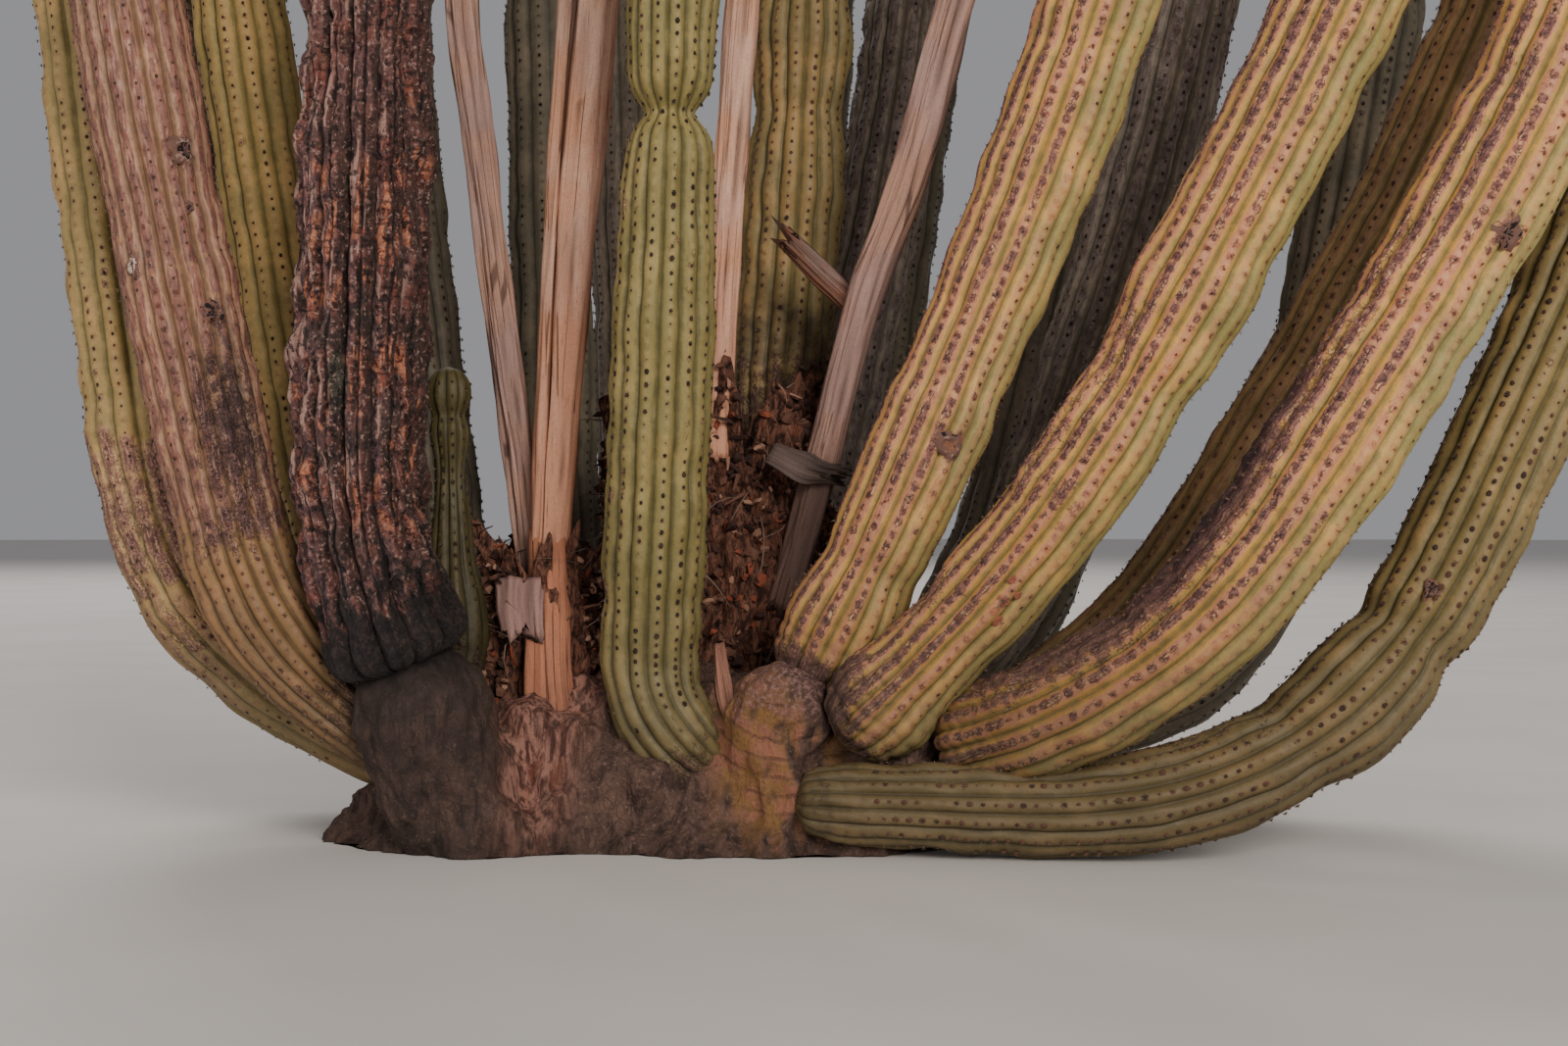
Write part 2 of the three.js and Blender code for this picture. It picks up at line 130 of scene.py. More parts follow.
DENSE_PARTS = 5              # points on each side of a piece of wood
STRIP_STATIONS = 5
LOOSE_STRIP = ((0.05, 0.12), (0.0018, 0.0032), (0.008, 0.035))     # length, width and curl, from and to
SHORT_STRIP = ((0.012, 0.050), (0.004, 0.012), (0.001, 0.010))
LOOSE_SHARE = 0.16           # of the strips
STRIP_SHARES = (0.46, 0.36, 0.14, 0.04)  # of the four tones of the other strips
CRUMB_SHARES = (0.48, 0.34, 0.13, 0.05)  # and of the crumbs
CRUMB_SIZE = (0.003, 0.012)
CRUMB_STRETCH = (0.25, 1.3)  # along each of its axes
CRUMB_RISE = (-0.002, 0.008)
RIM_STEPS = ((0.25, 0.86), (0.6, 0.72), (0.9, 0.55), (1.0, 0.25))      # how a stump's top sinks and closes

# Camera, lights and soft light from all sides.
# A light is its name, place, target, size, power and colour.

LENS = 50
SENSOR = 36
CAMERA_PLACE = (0.115, -3.2, 0.46)
LIGHTS = (
    ("key", (4.6, -10.4, 5.0), (0.1, 0.0, 0.8), 5.0, 1230, (1.0, 0.93, 0.85)),
    ("fill", (-6.9, -10.1, 2.7), (0.0, 0.0, 0.8), 6.9, 460, (1.0, 0.93, 0.88)),
    ("rear", (-4.1, 13.8, 13.9), (0.0, 0.0, 0.8), 9.0, 1850, (1.0, 0.96, 0.92)),
)
SOFT_COLOUR = (0.72, 0.72, 0.75, 1.0)
SOFT_STRENGTH = 0.42
FLOOR_REACH = 60
FLOOR_SIDES = 96
FLOOR_LEVEL = -0.001
FLOOR_TONES = ((206, 202, 198), (212, 208, 204))


@dataclass
class Limb:
    """A swept limb. Dressing its skin adds the line, frames, girths and rings that it works out."""

    name: str
    foot: tuple
    heading: tuple
    rise: tuple
    bend: float
    height: float
    girth: float
    ribs: int
    pinch: tuple
    run: float = 0.0
    necks: tuple = ()
    whole: bool = False
    rear: bool = False


ARMS = [
    Limb("arm_left_barked", (-0.415, -0.160, 0.262), (190, 130), (70, 93, 89),
         0.420, 3.3, 0.182, 13, (1.03, 1.5), whole=True),
    Limb("arm_left_scarred", (-0.412, -0.072, 0.122), (190, 192), (38, 78, 87),
         0.420, 3.65, 0.158, 18, (0.74, 0.42), run=0.07),
    Limb("arm_left_outer", (-0.430, -0.005, 0.108), (180, 172), (29, 82, 88),
         0.628, 3.15, 0.156, 14, (0.74, 0.45), run=0.08),
    Limb("arm_left_rear", (-0.360, 0.115, 0.100), (172, 160), (50, 79, 88),
         0.650, 3.9, 0.148, 14, (0.74, 0.45), run=0.02),
    Limb("arm_left_shaded", (-0.285, 0.200, 0.125), (160, 132), (52, 77, 87),
         0.460, 3.5, 0.150, 14, (0.74, 0.45)),
    Limb("arm_centre_front", (0.012, -0.070, 0.108), (200, 115), (38, 97, 88),
         0.250, 2.7, 0.148, 15, (0.8, 0.26), necks=((1.034, 0.38, 0.032), (1.160, 0.13, 0.330)),
         whole=True),
    Limb("arm_centre_rear", (0.095, 0.330, 0.540), (30, 60), (84, 86, 89),
         0.900, 4.2, 0.162, 15, (0.78, 0.16), necks=((1.130, 0.12, 0.050),), whole=True),
    Limb("arm_centre_dark", (0.100, 0.345, 0.190), (60, 57), (70, 66, 88),
         0.400, 3.95, 0.156, 14, (0.74, 0.3), whole=True),
    Limb("arm_right_inner", (0.153, -0.062, 0.225), (-20, -8), (62, 67, 88),
         0.500, 3.9, 0.172, 16, (0.86, 1.5), whole=True),
    Limb("arm_right_middle", (0.206, -0.140, 0.160), (-14, -9), (44, 62, 89),
         0.830, 3.6, 0.166, 16, (0.84, 1.2)),
    Limb("arm_right_front", (0.366, -0.120, 0.150), (-50, 2), (14, 57, 83),
         0.665, 3.35, 0.174, 16, (0.88, 0.9)),
    Limb("arm_right_low", (0.140, -0.170, 0.072), (-8, 12), (-1, 63, 85),
         0.900, 2.9, 0.160, 15, (0.72, 0.9), run=0.23),
    Limb("arm_right_shade", (0.330, 0.062, 0.130), (-5, -12), (20, 58.5, 82),
         0.560, 3.5, 0.150, 14, (0.74, 0.4), run=0.02),
    Limb("arm_right_dark", (0.300, 0.140, 0.160), (10, 7), (44, 70, 88),
         0.400, 4.05, 0.152, 14, (0.74, 0.3)),
    Limb("arm_right_rear", (0.314, 0.229, 0.129), (10, 14), (4, 76, 88),
         0.640, 3.2, 0.150, 14, (0.74, 0.5), run=0.186),
]
PUP = Limb("pup_left", (-0.366, 0.0, 0.150), (180, 180), (88, 89, 89),
           0.300, 0.684, 0.076, 10, (0.9, 0.06), necks=((0.520, 0.36, 0.092), (0.618, 0.2, 0.018)),
           whole=True)

# Far arms round the mound: name, heading, rise, bend, height, tone, bleaching and aged share

REAR_ARMS = [
    ("arm_back_right", (30, 27), (20, 72, 88), 0.650, 3.55, 0.95, 0.15, 0.0),
    ("arm_back_corner", (46, 42), (14, 70, 88), 0.760, 3.3, 1.10, 0.30, 0.3),
    ("arm_back_tall", (63, 62), (42, 71, 88), 0.900, 3.75, 0.86, 0.10, 0.0),
    ("arm_back_low", (80, 77), (10, 68, 87), 0.880, 3.0, 1.16, 0.25, 0.0),
    ("arm_back_far", (98, 101), (12, 74, 88), 0.720, 3.45, 0.98, 0.35, 0.6),
    ("arm_back_middle", (118, 104), (34, 79, 88), 0.560, 4.0, 1.06, 0.15, 0.0),
    ("arm_back_left", (137, 124), (20, 77, 88), 0.600, 3.7, 0.90, 0.20, 0.4),
    ("arm_back_outer", (158, 154), (14, 77, 88), 0.760, 3.3, 1.14, 0.30, 0.0),
]
REAR_FOOT_SHARE = 0.76
REAR_FOOT_HEIGHT = 0.105
REAR_GIRTH = 0.150
REAR_RIBS = 12

# What each skin carries. A tone brightens or darkens the whole limb, partly as its own colour and partly as
# painted light and shade.
# A waist is its height, loss of girth and half length; a swelling is a waist with a negative loss.
# A mark is its kind, height, heading, tilt, half length, half width and strength.
# A band is its kind, lowest and highest height and strength, with edges stepped from rib to rib.
# A knot is its height, heading, radius and kind. Folds are the depth of the creases at the foot, and the
# strength of the painted shade in them.

# Two arms that stand in shade: their dark look is partly their own colour and partly painted shade
DARK_LOOK = {
    "skin": "grey_green_skin", "tone": 0.97, "sun": 0.2,
    "bands": (("tint", 0.0, 4.2, 1.0), ("cork", 0.0, 4.2, 0.3)),
}
LOOKS = {
    "arm_left_barked": {
        "skin": "charred_bark", "waists": ((0.270, -0.30, 0.035), (0.47, 0.05, 0.03)),
        "marks": (("pale", 0.653, -98, 0, 0.045, 0.014, 1.2),),
    },
    "arm_left_scarred": {
        "skin": "scarred_skin", "sun": 0.25, "tone": 0.70,
        "bands": (("tint", 0.44, 4.0, 1.0),),
        "marks": (
            ("dark", 0.61, -44, 0, 0.12, 0.040, 0.9),
            ("cork", 0.58, -52, 0, 0.12, 0.060, 1.0),
            ("cork", 0.45, -75, 0, 0.03, 0.09, 0.6),
            ("cork", 0.20, -20, 30, 0.06, 0.10, 0.9),
            ("pale", 0.833, -125, 0, 0.016, 0.016, 1.0),
            ("pale", 1.10, -100, 0, 0.20, 0.035, 0.3),
        ),
        "knots": ((0.968, -42, 0.0125, "hole"), (0.744, -45, 0.0105, "dark"), (0.822, -123, 0.0075, "pale"),
                  (0.888, -48, 0.0050, "dark")),
    },
    "arm_left_outer": {
        "skin": "yellow_green_skin", "sun": 0.25, "tone": 0.98,
        "bands": (("cork", 0.36, 0.585, 0.58), ("tint", 0.36, 0.585, 1.0), ("tint", 0.20, 0.36, 0.5)),
        "marks": (("cork", 0.32, -120, 0, 0.10, 0.05, 0.6),),
    },
    # A tone above one is painted light, lifting an arm that stands in the shade of arm_left_barked
    "arm_left_rear": {"skin": "yellow_green_skin", "tone": 1.42, "sun": 0.12},
    "arm_left_shaded": {"skin": "grey_green_skin", "tone": 0.7},
    "arm_centre_front": {
        "skin": "green_skin", "tone": 0.87, "waists": ((1.034, 0.16, 0.020), (0.35, 0.03, 0.02)),
        "marks": (
            ("cork", 0.366, 205, 0, 0.016, 0.012, 1.0),
            ("cork", 0.135, -85, -30, 0.030, 0.040, 0.95),
            ("cork", 0.905, 205, 0, 0.020, 0.012, 1.0),
            ("cork", 0.682, -115, 0, 0.008, 0.010, 0.9),
            ("cork", 0.500, -150, 0, 0.010, 0.008, 0.9),
            ("cork", 0.860, -70, 0, 0.008, 0.010, 0.9),
        ),
        "folds": 0.7,
    },
    "arm_centre_rear": {
        "skin": "yellow_green_skin", "tone": 0.61, "dots": 1.2,
        "bands": (("dark", 0.40, 0.80, 0.55), ("cork", 0.40, 0.72, 0.6)),
    },
    "arm_centre_dark": DARK_LOOK,
    "arm_right_inner": {
        "skin": "ochre_skin", "sun": 0.85,
        "waists": ((0.402, 0.10, 0.022), (0.30, -0.14, 0.055), (0.75, 0.03, 0.04)),
        "marks": (("cork", 0.245, -120, -10, 0.035, 0.060, 1.3), ("tint", 0.60, -90, 0, 0.25, 0.08, 0.4)),
        "knots": ((0.578, -68, 0.0120, "ragged"),), "folds": 1.0,
    },
    "arm_right_middle": {
        "skin": "ochre_skin", "sun": 0.95,
        "waists": ((0.645, 0.08, 0.035), (0.775, -0.06, 0.05), (0.20, -0.13, 0.045), (0.30, 0.04, 0.03)),
        "marks": (
            ("cork", 0.19, -150, 50, 0.07, 0.06, 1.4),
            ("cork", 0.16, -80, -20, 0.04, 0.04, 0.5),
            ("cork", 0.33, -150, 45, 0.07, 0.05, 0.7),
            ("cork", 0.52, -150, 30, 0.10, 0.05, 0.7),
            ("cork", 0.68, -140, 20, 0.09, 0.04, 0.7),
            ("cork", 0.50, -95, 0, 0.03, 0.02, 0.6),
        ),
        "knots": ((0.372, -72, 0.0055, "rusty"), (0.395, -84, 0.0040, "rusty"), (0.352, -60, 0.0045, "rusty"),
                  (0.386, -64, 0.0035, "rusty")),
        "folds": 1.2,
    },
    "arm_right_front": {
        "skin": "ochre_skin", "sun": 0.95,
        "waists": ((0.17, -0.05, 0.05), (0.70, 0.04, 0.03), (0.56, -0.03, 0.05)),
        "marks": (
            ("cork", 0.20, 180, 70, 0.12, 0.07, 1.2),
            ("cork", 0.30, 180, 60, 0.12, 0.06, 1.7),
            ("cork", 0.43, 175, 45, 0.12, 0.05, 1.7),
            ("cork", 0.56, 175, 40, 0.11, 0.050, 1.6),
            ("dark", 0.55, 175, 40, 0.11, 0.030, 0.6),
            ("dark", 0.40, 175, 55, 0.17, 0.042, 1.0),
            ("cork", 0.74, -150, 25, 0.13, 0.05, 0.6),
        ),
        "knots": ((0.845, -64, 0.0125, "dark"),), "folds": 1.0,
    },
    # A low tone: partly the arm's own colour, partly painted shade
    "arm_right_low": {
        "skin": "yellow_green_skin", "tone": 0.66, "sun": 0.08, "dots": 1.4,
        "waists": ((0.156, 0.10, 0.016), (0.301, 0.11, 0.022), (0.388, 0.06, 0.018), (0.23, -0.05, 0.03)),
        "marks": (("cork", 0.12, 180, 60, 0.10, 0.06, 0.5),),
        "knots": ((0.353, -112, 0.0085, "dark"),), "folds": 0.5,
    },
    "arm_right_shade": {
        "skin": "yellow_green_skin", "tone": 0.78, "sun": 0.3, "bands": (("tint", 0.0, 4.0, 0.5),),
    },
    "arm_right_dark": DARK_LOOK,
    "arm_right_rear": {"skin": "grey_green_skin", "tone": 0.95},
    # A low tone: partly the pup's own colour, partly painted shade
    "pup_left": {
        "skin": "green_skin", "tone": 0.31,
        "waists": ((0.616, 0.12, 0.016), (0.53, 0.10, 0.06), (0.31, -0.34, 0.07)),
        "bands": (("cork", 0.0, 0.30, 0.5), ("dark", 0.0, 0.50, 0.25)),
    },
}

# Colours of the skins and how scabby and pink each is, then those of bark, mound, rot and wood

SKIN_COLOURS = {
    "ochre_skin": {
        "flank": (198, 156, 84), "shade": (150, 142, 82), "valley": (126, 112, 64), "gold": (196, 148, 70),
        "crest": (184, 124, 96), "spot": (210, 172, 124), "scab": (116, 74, 72), "rust": (176, 98, 70),
        "cork": (138, 98, 92), "crack": (80, 52, 54), "tinted": (178, 122, 102), "scabs": 0.9, "pink": 1.0,
    },
    "yellow_green_skin": {
        "flank": (184, 150, 94), "shade": (148, 130, 80), "valley": (110, 98, 56), "gold": (196, 144, 72),
        "crest": (188, 142, 98), "spot": (202, 172, 118), "scab": (112, 78, 64), "rust": (170, 106, 72),
        "cork": (158, 118, 108), "crack": (90, 62, 60), "tinted": (174, 124, 110), "scabs": 0.5, "pink": 0.5,
    },
    "green_skin": {
        "flank": (160, 140, 88), "shade": (134, 122, 72), "valley": (92, 86, 46), "gold": (166, 142, 80),
        "crest": (168, 146, 92), "spot": (184, 166, 114), "scab": (92, 74, 50), "rust": (156, 108, 72),
        "cork": (162, 116, 98), "crack": (74, 54, 44), "tinted": (146, 116, 80), "scabs": 0.25, "pink": 0.4,
    },
    "grey_green_skin": {
        "flank": (124, 111, 92), "shade": (104, 97, 80), "valley": (76, 71, 59), "gold": (130, 114, 86),
        "crest": (132, 117, 92), "spot": (148, 136, 112), "scab": (86, 70, 62), "rust": (116, 90, 76),
        "cork": (122, 108, 108), "crack": (60, 52, 54), "tinted": (118, 104, 104), "scabs": 0.4, "pink": 0.3,
    },
    "scarred_skin": {
        "flank": (190, 144, 92), "shade": (166, 130, 80), "valley": (122, 92, 62), "gold": (190, 138, 72),
        "crest": (188, 130, 108), "spot": (206, 166, 140), "scab": (108, 72, 68), "rust": (176, 102, 78),
        "cork": (142, 106, 100), "crack": (66, 46, 48), "tinted": (162, 108, 94), "scabs": 0.8, "pink": 0.8,
    },
}
SKIN_MARKS = {"dusty": (122, 106, 84), "scar": (204, 180, 168), "burnt": (52, 38, 40)}
CHARRED_COLOURS = {
    "plate": (80, 49, 47), "brown": (136, 86, 76), "purple": (112, 86, 92), "upper": (128, 88, 84),
    "rust": (152, 80, 66), "soot": (60, 52, 46), "pit": (34, 22, 22), "ring": (172, 132, 120),
    "shade": (40, 32, 28), "orange": (148, 74, 54), "peach": (220, 148, 112), "bleached": (206, 164, 148),
    "scar_dark": (50, 46, 40), "scar": (88, 82, 68), "speck": (190, 154, 142), "hole": (27, 18, 18),
    "gap": (20, 14, 14), "char": (12, 9, 9), "ash": (52, 40, 36),
}
MOUND_COLOURS = {
    "cork_dark": (58, 43, 38), "cork": (100, 77, 67), "cleft": (40, 28, 26), "dusty": (134, 108, 94),
    "crack": (50, 36, 34), "smooth_dark": (25, 22, 22), "smooth": (40, 34, 32), "smooth_brown": (48, 39, 34),
    "smooth_pale": (94, 80, 74), "ochre": (144, 106, 60), "ochre_pink": (158, 102, 78),
    "ochre_pit": (78, 60, 48), "fold": (54, 40, 34), "crust_dark": (78, 56, 52), "crust": (138, 106, 100),
    "fibre_dark": (72, 44, 37), "fibre": (150, 108, 94), "rotten": (118, 68, 52),
}
ROT_COLOURS = {"brown": (54, 35, 30), "tan": (132, 90, 73), "red": (118, 68, 50), "hollow": (24, 17, 16)}
WOOD_MARKS = {"foot": (200, 140, 110), "grain": (104, 80, 70), "crack": (64, 46, 42), "damp": (58, 40, 34)}
WOODS = {                    # light, dark and warm colour, and how warm the foot is
    "grey_wood": ((176, 142, 132), (142, 114, 106), (178, 136, 114), 0.0),
    "pale_wood": ((216, 174, 152), (184, 144, 126), (206, 146, 112), 0.8),
    "splinter_wood": ((126, 104, 96), (84, 64, 58), (150, 94, 66), 0.0),
}
FLAP_TONES = {"pale": (156, 122, 114), "orange": (176, 116, 88), "grey": (98, 82, 76), "pink": (150, 106, 88)}
FLAP_SHADE = 0.6             # dark streaks of a flap, as a share of its light

# Areoles: width and tones on each skin

AREOLE_LOOKS = {
    "ochre_skin": (0.0020, (1, 3, 3, 4)),
    "scarred_skin": (0.0021, (1, 3, 4)),
    "yellow_green_skin": (0.0025, (1, 4, 4)),
    "green_skin": (0.0030, (0, 0, 1)),
    "grey_green_skin": (0.0028, (0, 1, 2)),
}
AREOLE_TONES = {"dark": (38, 28, 26), "brown": (58, 42, 36), "grey": (74, 62, 54), "rust": (112, 66, 50),
                "umber": (84, 58, 46)}
SPINE_TONES = {"grey": (136, 124, 110), "dark": (84, 68, 60), "tan": (166, 142, 108)}

# Knots: reach and rise of the rim, tones, and the tones that each kind draws from at each step outwards

KNOT_PROFILE = (
    (0.0, 0.02), (0.35, 0.04), (0.60, 0.10), (0.80, 0.30), (1.02, 0.26), (1.30, 0.08), (1.60, -0.25),
)
# The hollow tone is painted shade inside the holes
KNOT_TONES = {"hollow": (26, 19, 18), "rim": (136, 110, 100), "skirt": (104, 76, 68), "brown": (124, 84, 62),
              "rust": (140, 78, 58), "bleached": (196, 176, 164)}
KNOT_SHADES = {"hole": ((0, 1, 0), (0, 1, 0), (0, 0, 2), (1, 2, 1), (2, 1, 2), (2, 2, 3)),
               "ragged": ((3, 3, 2), (3, 2, 3), (2, 3, 2), (2, 2, 1), (2, 0, 2), (2, 3, 2)),
               "dark": ((0, 0, 2), (0, 2, 0), (0, 2, 2), (2, 0, 2), (2, 2, 0), (2, 2, 3)),
               "rusty": ((4, 4, 3), (4, 3, 4), (3, 4, 2), (4, 3, 4), (3, 2, 4), (4, 4, 3)),
               "pale": ((0, 0, 5), (5, 0, 5), (5, 5, 1), (5, 5, 1), (5, 1, 2), (2, 1, 2))}
LITTER_TONES = {"dark": (58, 38, 33), "brown": (100, 68, 56), "tan": (152, 114, 94), "red": (130, 68, 48),
                "string": (122, 102, 92)}

# Lobes of the root mound: points, girth at each end, share that is domed, ribs and their depth

LOBES = {
    "stump": {
        "points": ((-0.300, -0.095, -0.020), (-0.345, -0.115, 0.070), (-0.385, -0.140, 0.165),
                   (-0.415, -0.150, 0.300)),
        "girth": (0.235, 0.175), "dome": 0.3, "ribs": 5, "depth": 0.07,
    },
    "ridge": {
        "points": ((0.020, 0.0, 0.080), (0.180, -0.060, 0.100), (0.355, -0.115, 0.112)),
        "girth": (0.180, 0.165), "dome": 0.25, "ribs": 8, "depth": 0.15,
    },
    "knee": {
        "points": ((0.090, -0.100, -0.020), (0.097, -0.112, 0.080), (0.100, -0.114, 0.160),
                   (0.150, -0.108, 0.262)),
        "girth": (0.176, 0.150), "dome": 0.35, "ribs": 11, "depth": 0.08,
    },
}

# Woody ribs of the dead stem: name, slot, width at foot, middle and tip, depth, groove and points

DEAD_RIBS = [
    ("dead_rib_left", "grey_wood", (0.046, 0.050, 0.022), 0.026, 0.0,
     ((-0.262, 0.096, 0.330), (-0.276, 0.095, 0.480), (-0.313, 0.095, 0.760), (-0.352, 0.095, 1.065),
      (-0.374, 0.095, 1.250), (-0.396, 0.095, 1.900))),
    ("dead_rib_pale", "pale_wood", (0.058, 0.090, 0.034), 0.040, 0.45,
     ((-0.244, 0.048, 0.280), (-0.232, 0.050, 0.450), (-0.222, 0.050, 0.640), (-0.206, 0.050, 0.904),
      (-0.192, 0.050, 1.079), (-0.178, 0.050, 1.240), (-0.096, 0.040, 2.250))),
    ("dead_rib_hidden", "pale_wood", (0.050, 0.052, 0.026), 0.026, 0.0,
     ((0.008, 0.120, 0.560), (0.026, 0.100, 0.890), (0.052, 0.090, 1.240), (0.092, 0.085, 1.700))),
    ("dead_rib_right", "grey_wood", (0.052, 0.060, 0.028), 0.032, 0.0,
     ((0.112, 0.096, 0.330), (0.170, 0.090, 0.545), (0.232, 0.088, 0.790), (0.302, 0.086, 0.985),
      (0.375, 0.084, 1.250), (0.640, 0.080, 2.080))),
    ("dead_rib_splinter", "grey_wood", (0.046, 0.042, 0.034), 0.022, 0.0,
     ((0.250, 0.104, 0.765), (0.184, 0.124, 0.829), (0.116, 0.134, 0.897))),
]

# Darker foot of a piece of wood: height, the length over which it fades and its strength

DARK_FEET = {"dead_rib_right": (0.545, 0.02, 0.85), "flap_column": (0.30, 0.22, 0.75)}

# Flaps and strips that hang by the dead ribs: name, tone, widths, depth, groove and points

FLAPS = [
    ("flap_plate", "pale", (0.074, 0.070, 0.062), 0.014, 0.0,
     ((-0.272, 0.010, 0.376), (-0.270, -0.018, 0.340), (-0.264, -0.030, 0.300))),
    ("flap_column", "orange", (0.060, 0.066, 0.078), 0.036, 0.3,
     ((-0.236, 0.062, 0.450), (-0.232, 0.016, 0.350), (-0.226, -0.034, 0.240), (-0.214, -0.068, 0.130))),
    ("flap_torn", "grey", (0.040, 0.050, 0.034), 0.010, 0.0,
     ((0.096, 0.060, 0.566), (0.142, 0.050, 0.545), (0.196, 0.056, 0.534))),
    ("flap_strip", "pink", (0.018, 0.026, 0.012), 0.008, 0.0,
     ((0.020, -0.050, 0.285), (0.030, -0.085, 0.220), (0.046, -0.118, 0.150))),
]

# Places where the crumbs are red

RED_REACH = 0.035
RED_PATCHES = ((0.052, 0.060, 0.350), (-0.185, 0.010, 0.310))

# Rotten stumps: middle, reach at foot and top, lowest and highest height, ragged rim and its teeth

STUMPS = {
    "rotten_heart": ((0.005, 0.225), (0.215, 0.165), (0.165, 0.118), 0.120, 0.640, 0.095, 13),
    "rotten_stump_left": ((-0.250, 0.062), (0.125, 0.100), (0.088, 0.066), 0.090, 0.410, 0.060, 9),
}


# Small helpers

def ease(t):
    u = np.clip(t, 0, 1)
    return u * u * (3 - 2 * u)


def mix(start, end, share):
    return start + (end - start) * share


def bell(distance, steep=2):
    """1 at no distance, and a smooth fall to 0 past it."""
    return np.exp(-distance ** steep)


def unit(vectors):
    return vectors / np.linalg.norm(vectors, axis=-1, keepdims=True)


def towards(heading, rise):
    """Unit vectors that point to a heading and rise, in degrees."""
    turn, lift = np.radians(heading), np.radians(rise)
    return np.stack([np.cos(lift) * np.cos(turn), np.cos(lift) * np.sin(turn), np.sin(lift)], axis=-1)


def seed_of(name):
    """A number of its own for each name, to draw from."""
    return sum(ord(letter) * (place + 1) for place, letter in enumerate(name))


def ripple(points, size, seed, waves=12):
    """Smooth noise, mostly from -1 to 1, with features of about this size."""
    rng = np.random.default_rng(seed)
    ways = unit(rng.normal(size=(waves, points.shape[-1])))
    ways *= rng.uniform(0.6, 1.5, (waves, 1)) * math.pi / size
    phases = rng.uniform(0, 2 * math.pi, waves)
    return np.sin(points @ ways.T + phases).sum(axis=-1) * math.sqrt(1.6 / waves)


def turns_of(sides):
    return 2 * math.pi * np.arange(sides) / sides


def link_object(name, data):
    made = bpy.data.objects.new(name, data)
    bpy.context.scene.collection.objects.link(made)
    return made


def colour(red, green, blue):
    """A display colour, 0 to 255, as the linear colour that shaders take."""
    shares = np.array([red, green, blue]) / 255
    linear = np.where(shares <= 0.04045, shares / 12.92, ((shares + 0.055) / 1.055) ** 2.4)
    return (*linear.tolist(), 1.0)


# Meshes from arrays

def make_piece(name, points, blocks, slot, material, smooth=True, uvs=None, values=None, shades=None):
    """A piece from points and blocks of equal faces, with UV maps, vertex values and face shades."""
    mesh = bpy.data.meshes.new(name)
    mesh.vertices.add(len(points))
    mesh.vertices.foreach_set("co", np.asarray(points, dtype=np.float32).ravel())
    corners = np.concatenate([block.ravel() for block in blocks])
    sizes = np.concatenate([np.full(len(block), block.shape[1]) for block in blocks])
    mesh.loops.add(len(corners))
    mesh.loops.foreach_set("vertex_index", corners.astype(np.int32))
    mesh.polygons.add(len(sizes))
    mesh.polygons.foreach_set("loop_start", np.concatenate([[0], np.cumsum(sizes)[:-1]]).astype(np.int32))
    if shades is not None:
        mesh.polygons.foreach_set("material_index", shades.astype(np.int32))
    mesh.update(calc_edges=True)
    for map_name, spots in (uvs or {}).items():
        layer = mesh.uv_layers.new(name=map_name)
        layer.data.foreach_set("uv", spots.astype(np.float32).ravel())
    for value_name, numbers in (values or {}).items():
        layer = mesh.attributes.new(value_name, "FLOAT", "POINT")
        layer.data.foreach_set("value", numbers.astype(np.float32).ravel())
    mesh.polygons.foreach_set("use_smooth", np.full(len(sizes), smooth))
    for each in material if isinstance(material, list) else [material]:
        mesh.materials.append(each)
    piece = link_object(name, mesh)
    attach(piece, "root")
    return piece


def ring_faces(rows, count):
    """Quads between rings of equal count, and for each quad its row and its place in the ring."""
    row, place = np.meshgrid(np.arange(rows - 1), np.arange(count), indexing="ij")
    row, place = row.ravel(), place.ravel()
    after = (place + 1) % count
    quads = np.stack([row * count + place, row * count + after,
                      (row + 1) * count + after, (row + 1) * count + place], axis=1)
    return quads, row, place


def cap_faces(start, count, centre, outward):
    """Triangles that close a ring with a centre point."""
    place = np.arange(count)
    after = (place + 1) % count
    fan = [start + place, start + after, np.full(count, centre)]
    return np.stack(fan if outward else [fan[1], fan[0], fan[2]], axis=1)


def quad_map(left, right, low, high):
    """Map corners of quads, from the places of their sides and ends."""
    u = np.stack([left, right, right, left], axis=1)
    v = np.stack([low, low, high, high], axis=1)
    return np.stack([u, v], axis=-1).reshape(-1, 2)


# Shader graphs

class Value:
    """An output of a shader node. Arithmetic with values adds the nodes that work it out."""

    def __init__(self, graph, socket):
        self.graph = graph
        self.socket = socket

    def math(self, operation, other=0.0, clamp=False):
        return self.graph.node("ShaderNodeMath", {0: self, 1: other}, operation=operation, use_clamp=clamp)

    def __add__(self, other):
        return self.math("ADD", other)

    def __sub__(self, other):
        return self.math("SUBTRACT", other)

    def __mul__(self, other):
        return self.math("MULTIPLY", other)

    def __abs__(self):
        return self.math("ABSOLUTE")

    def held(self, other):
        """The product with another value, held between 0 and 1."""
        return self.math("MULTIPLY", other, True)

    def off_middle(self):
        """How far this lies from the middle of its own whole step."""
        return self.math("FRACT") - 0.5

    def ramp(self, low, high, start=0.0, end=1.0):
        """A smooth change from start to end while this goes from low to high."""
        ends = {"Value": self, "From Min": low, "From Max": high, "To Min": start, "To Max": end}
        return self.graph.node("ShaderNodeMapRange", ends, interpolation_type="SMOOTHSTEP")

    def stirred(self, noise, most, spread=0.2):
        """This value, moved up or down by a noise."""
        return self + noise.ramp(0.5 - spread, 0.5 + spread, -most, most)

    def coat(self, share, tone):
        """This colour under a share of another colour."""
        return self.graph.blend(share, self, tone)

    def shaded(self, tone):
        return self.graph.blend(1.0, self, self.graph.vector(tone, tone, tone), "MULTIPLY")

    def bump(self, distance, strength=1.0):
        inputs = {"Height": self, "Distance": distance, "Strength": strength}
        return self.graph.node("ShaderNodeBump", inputs)


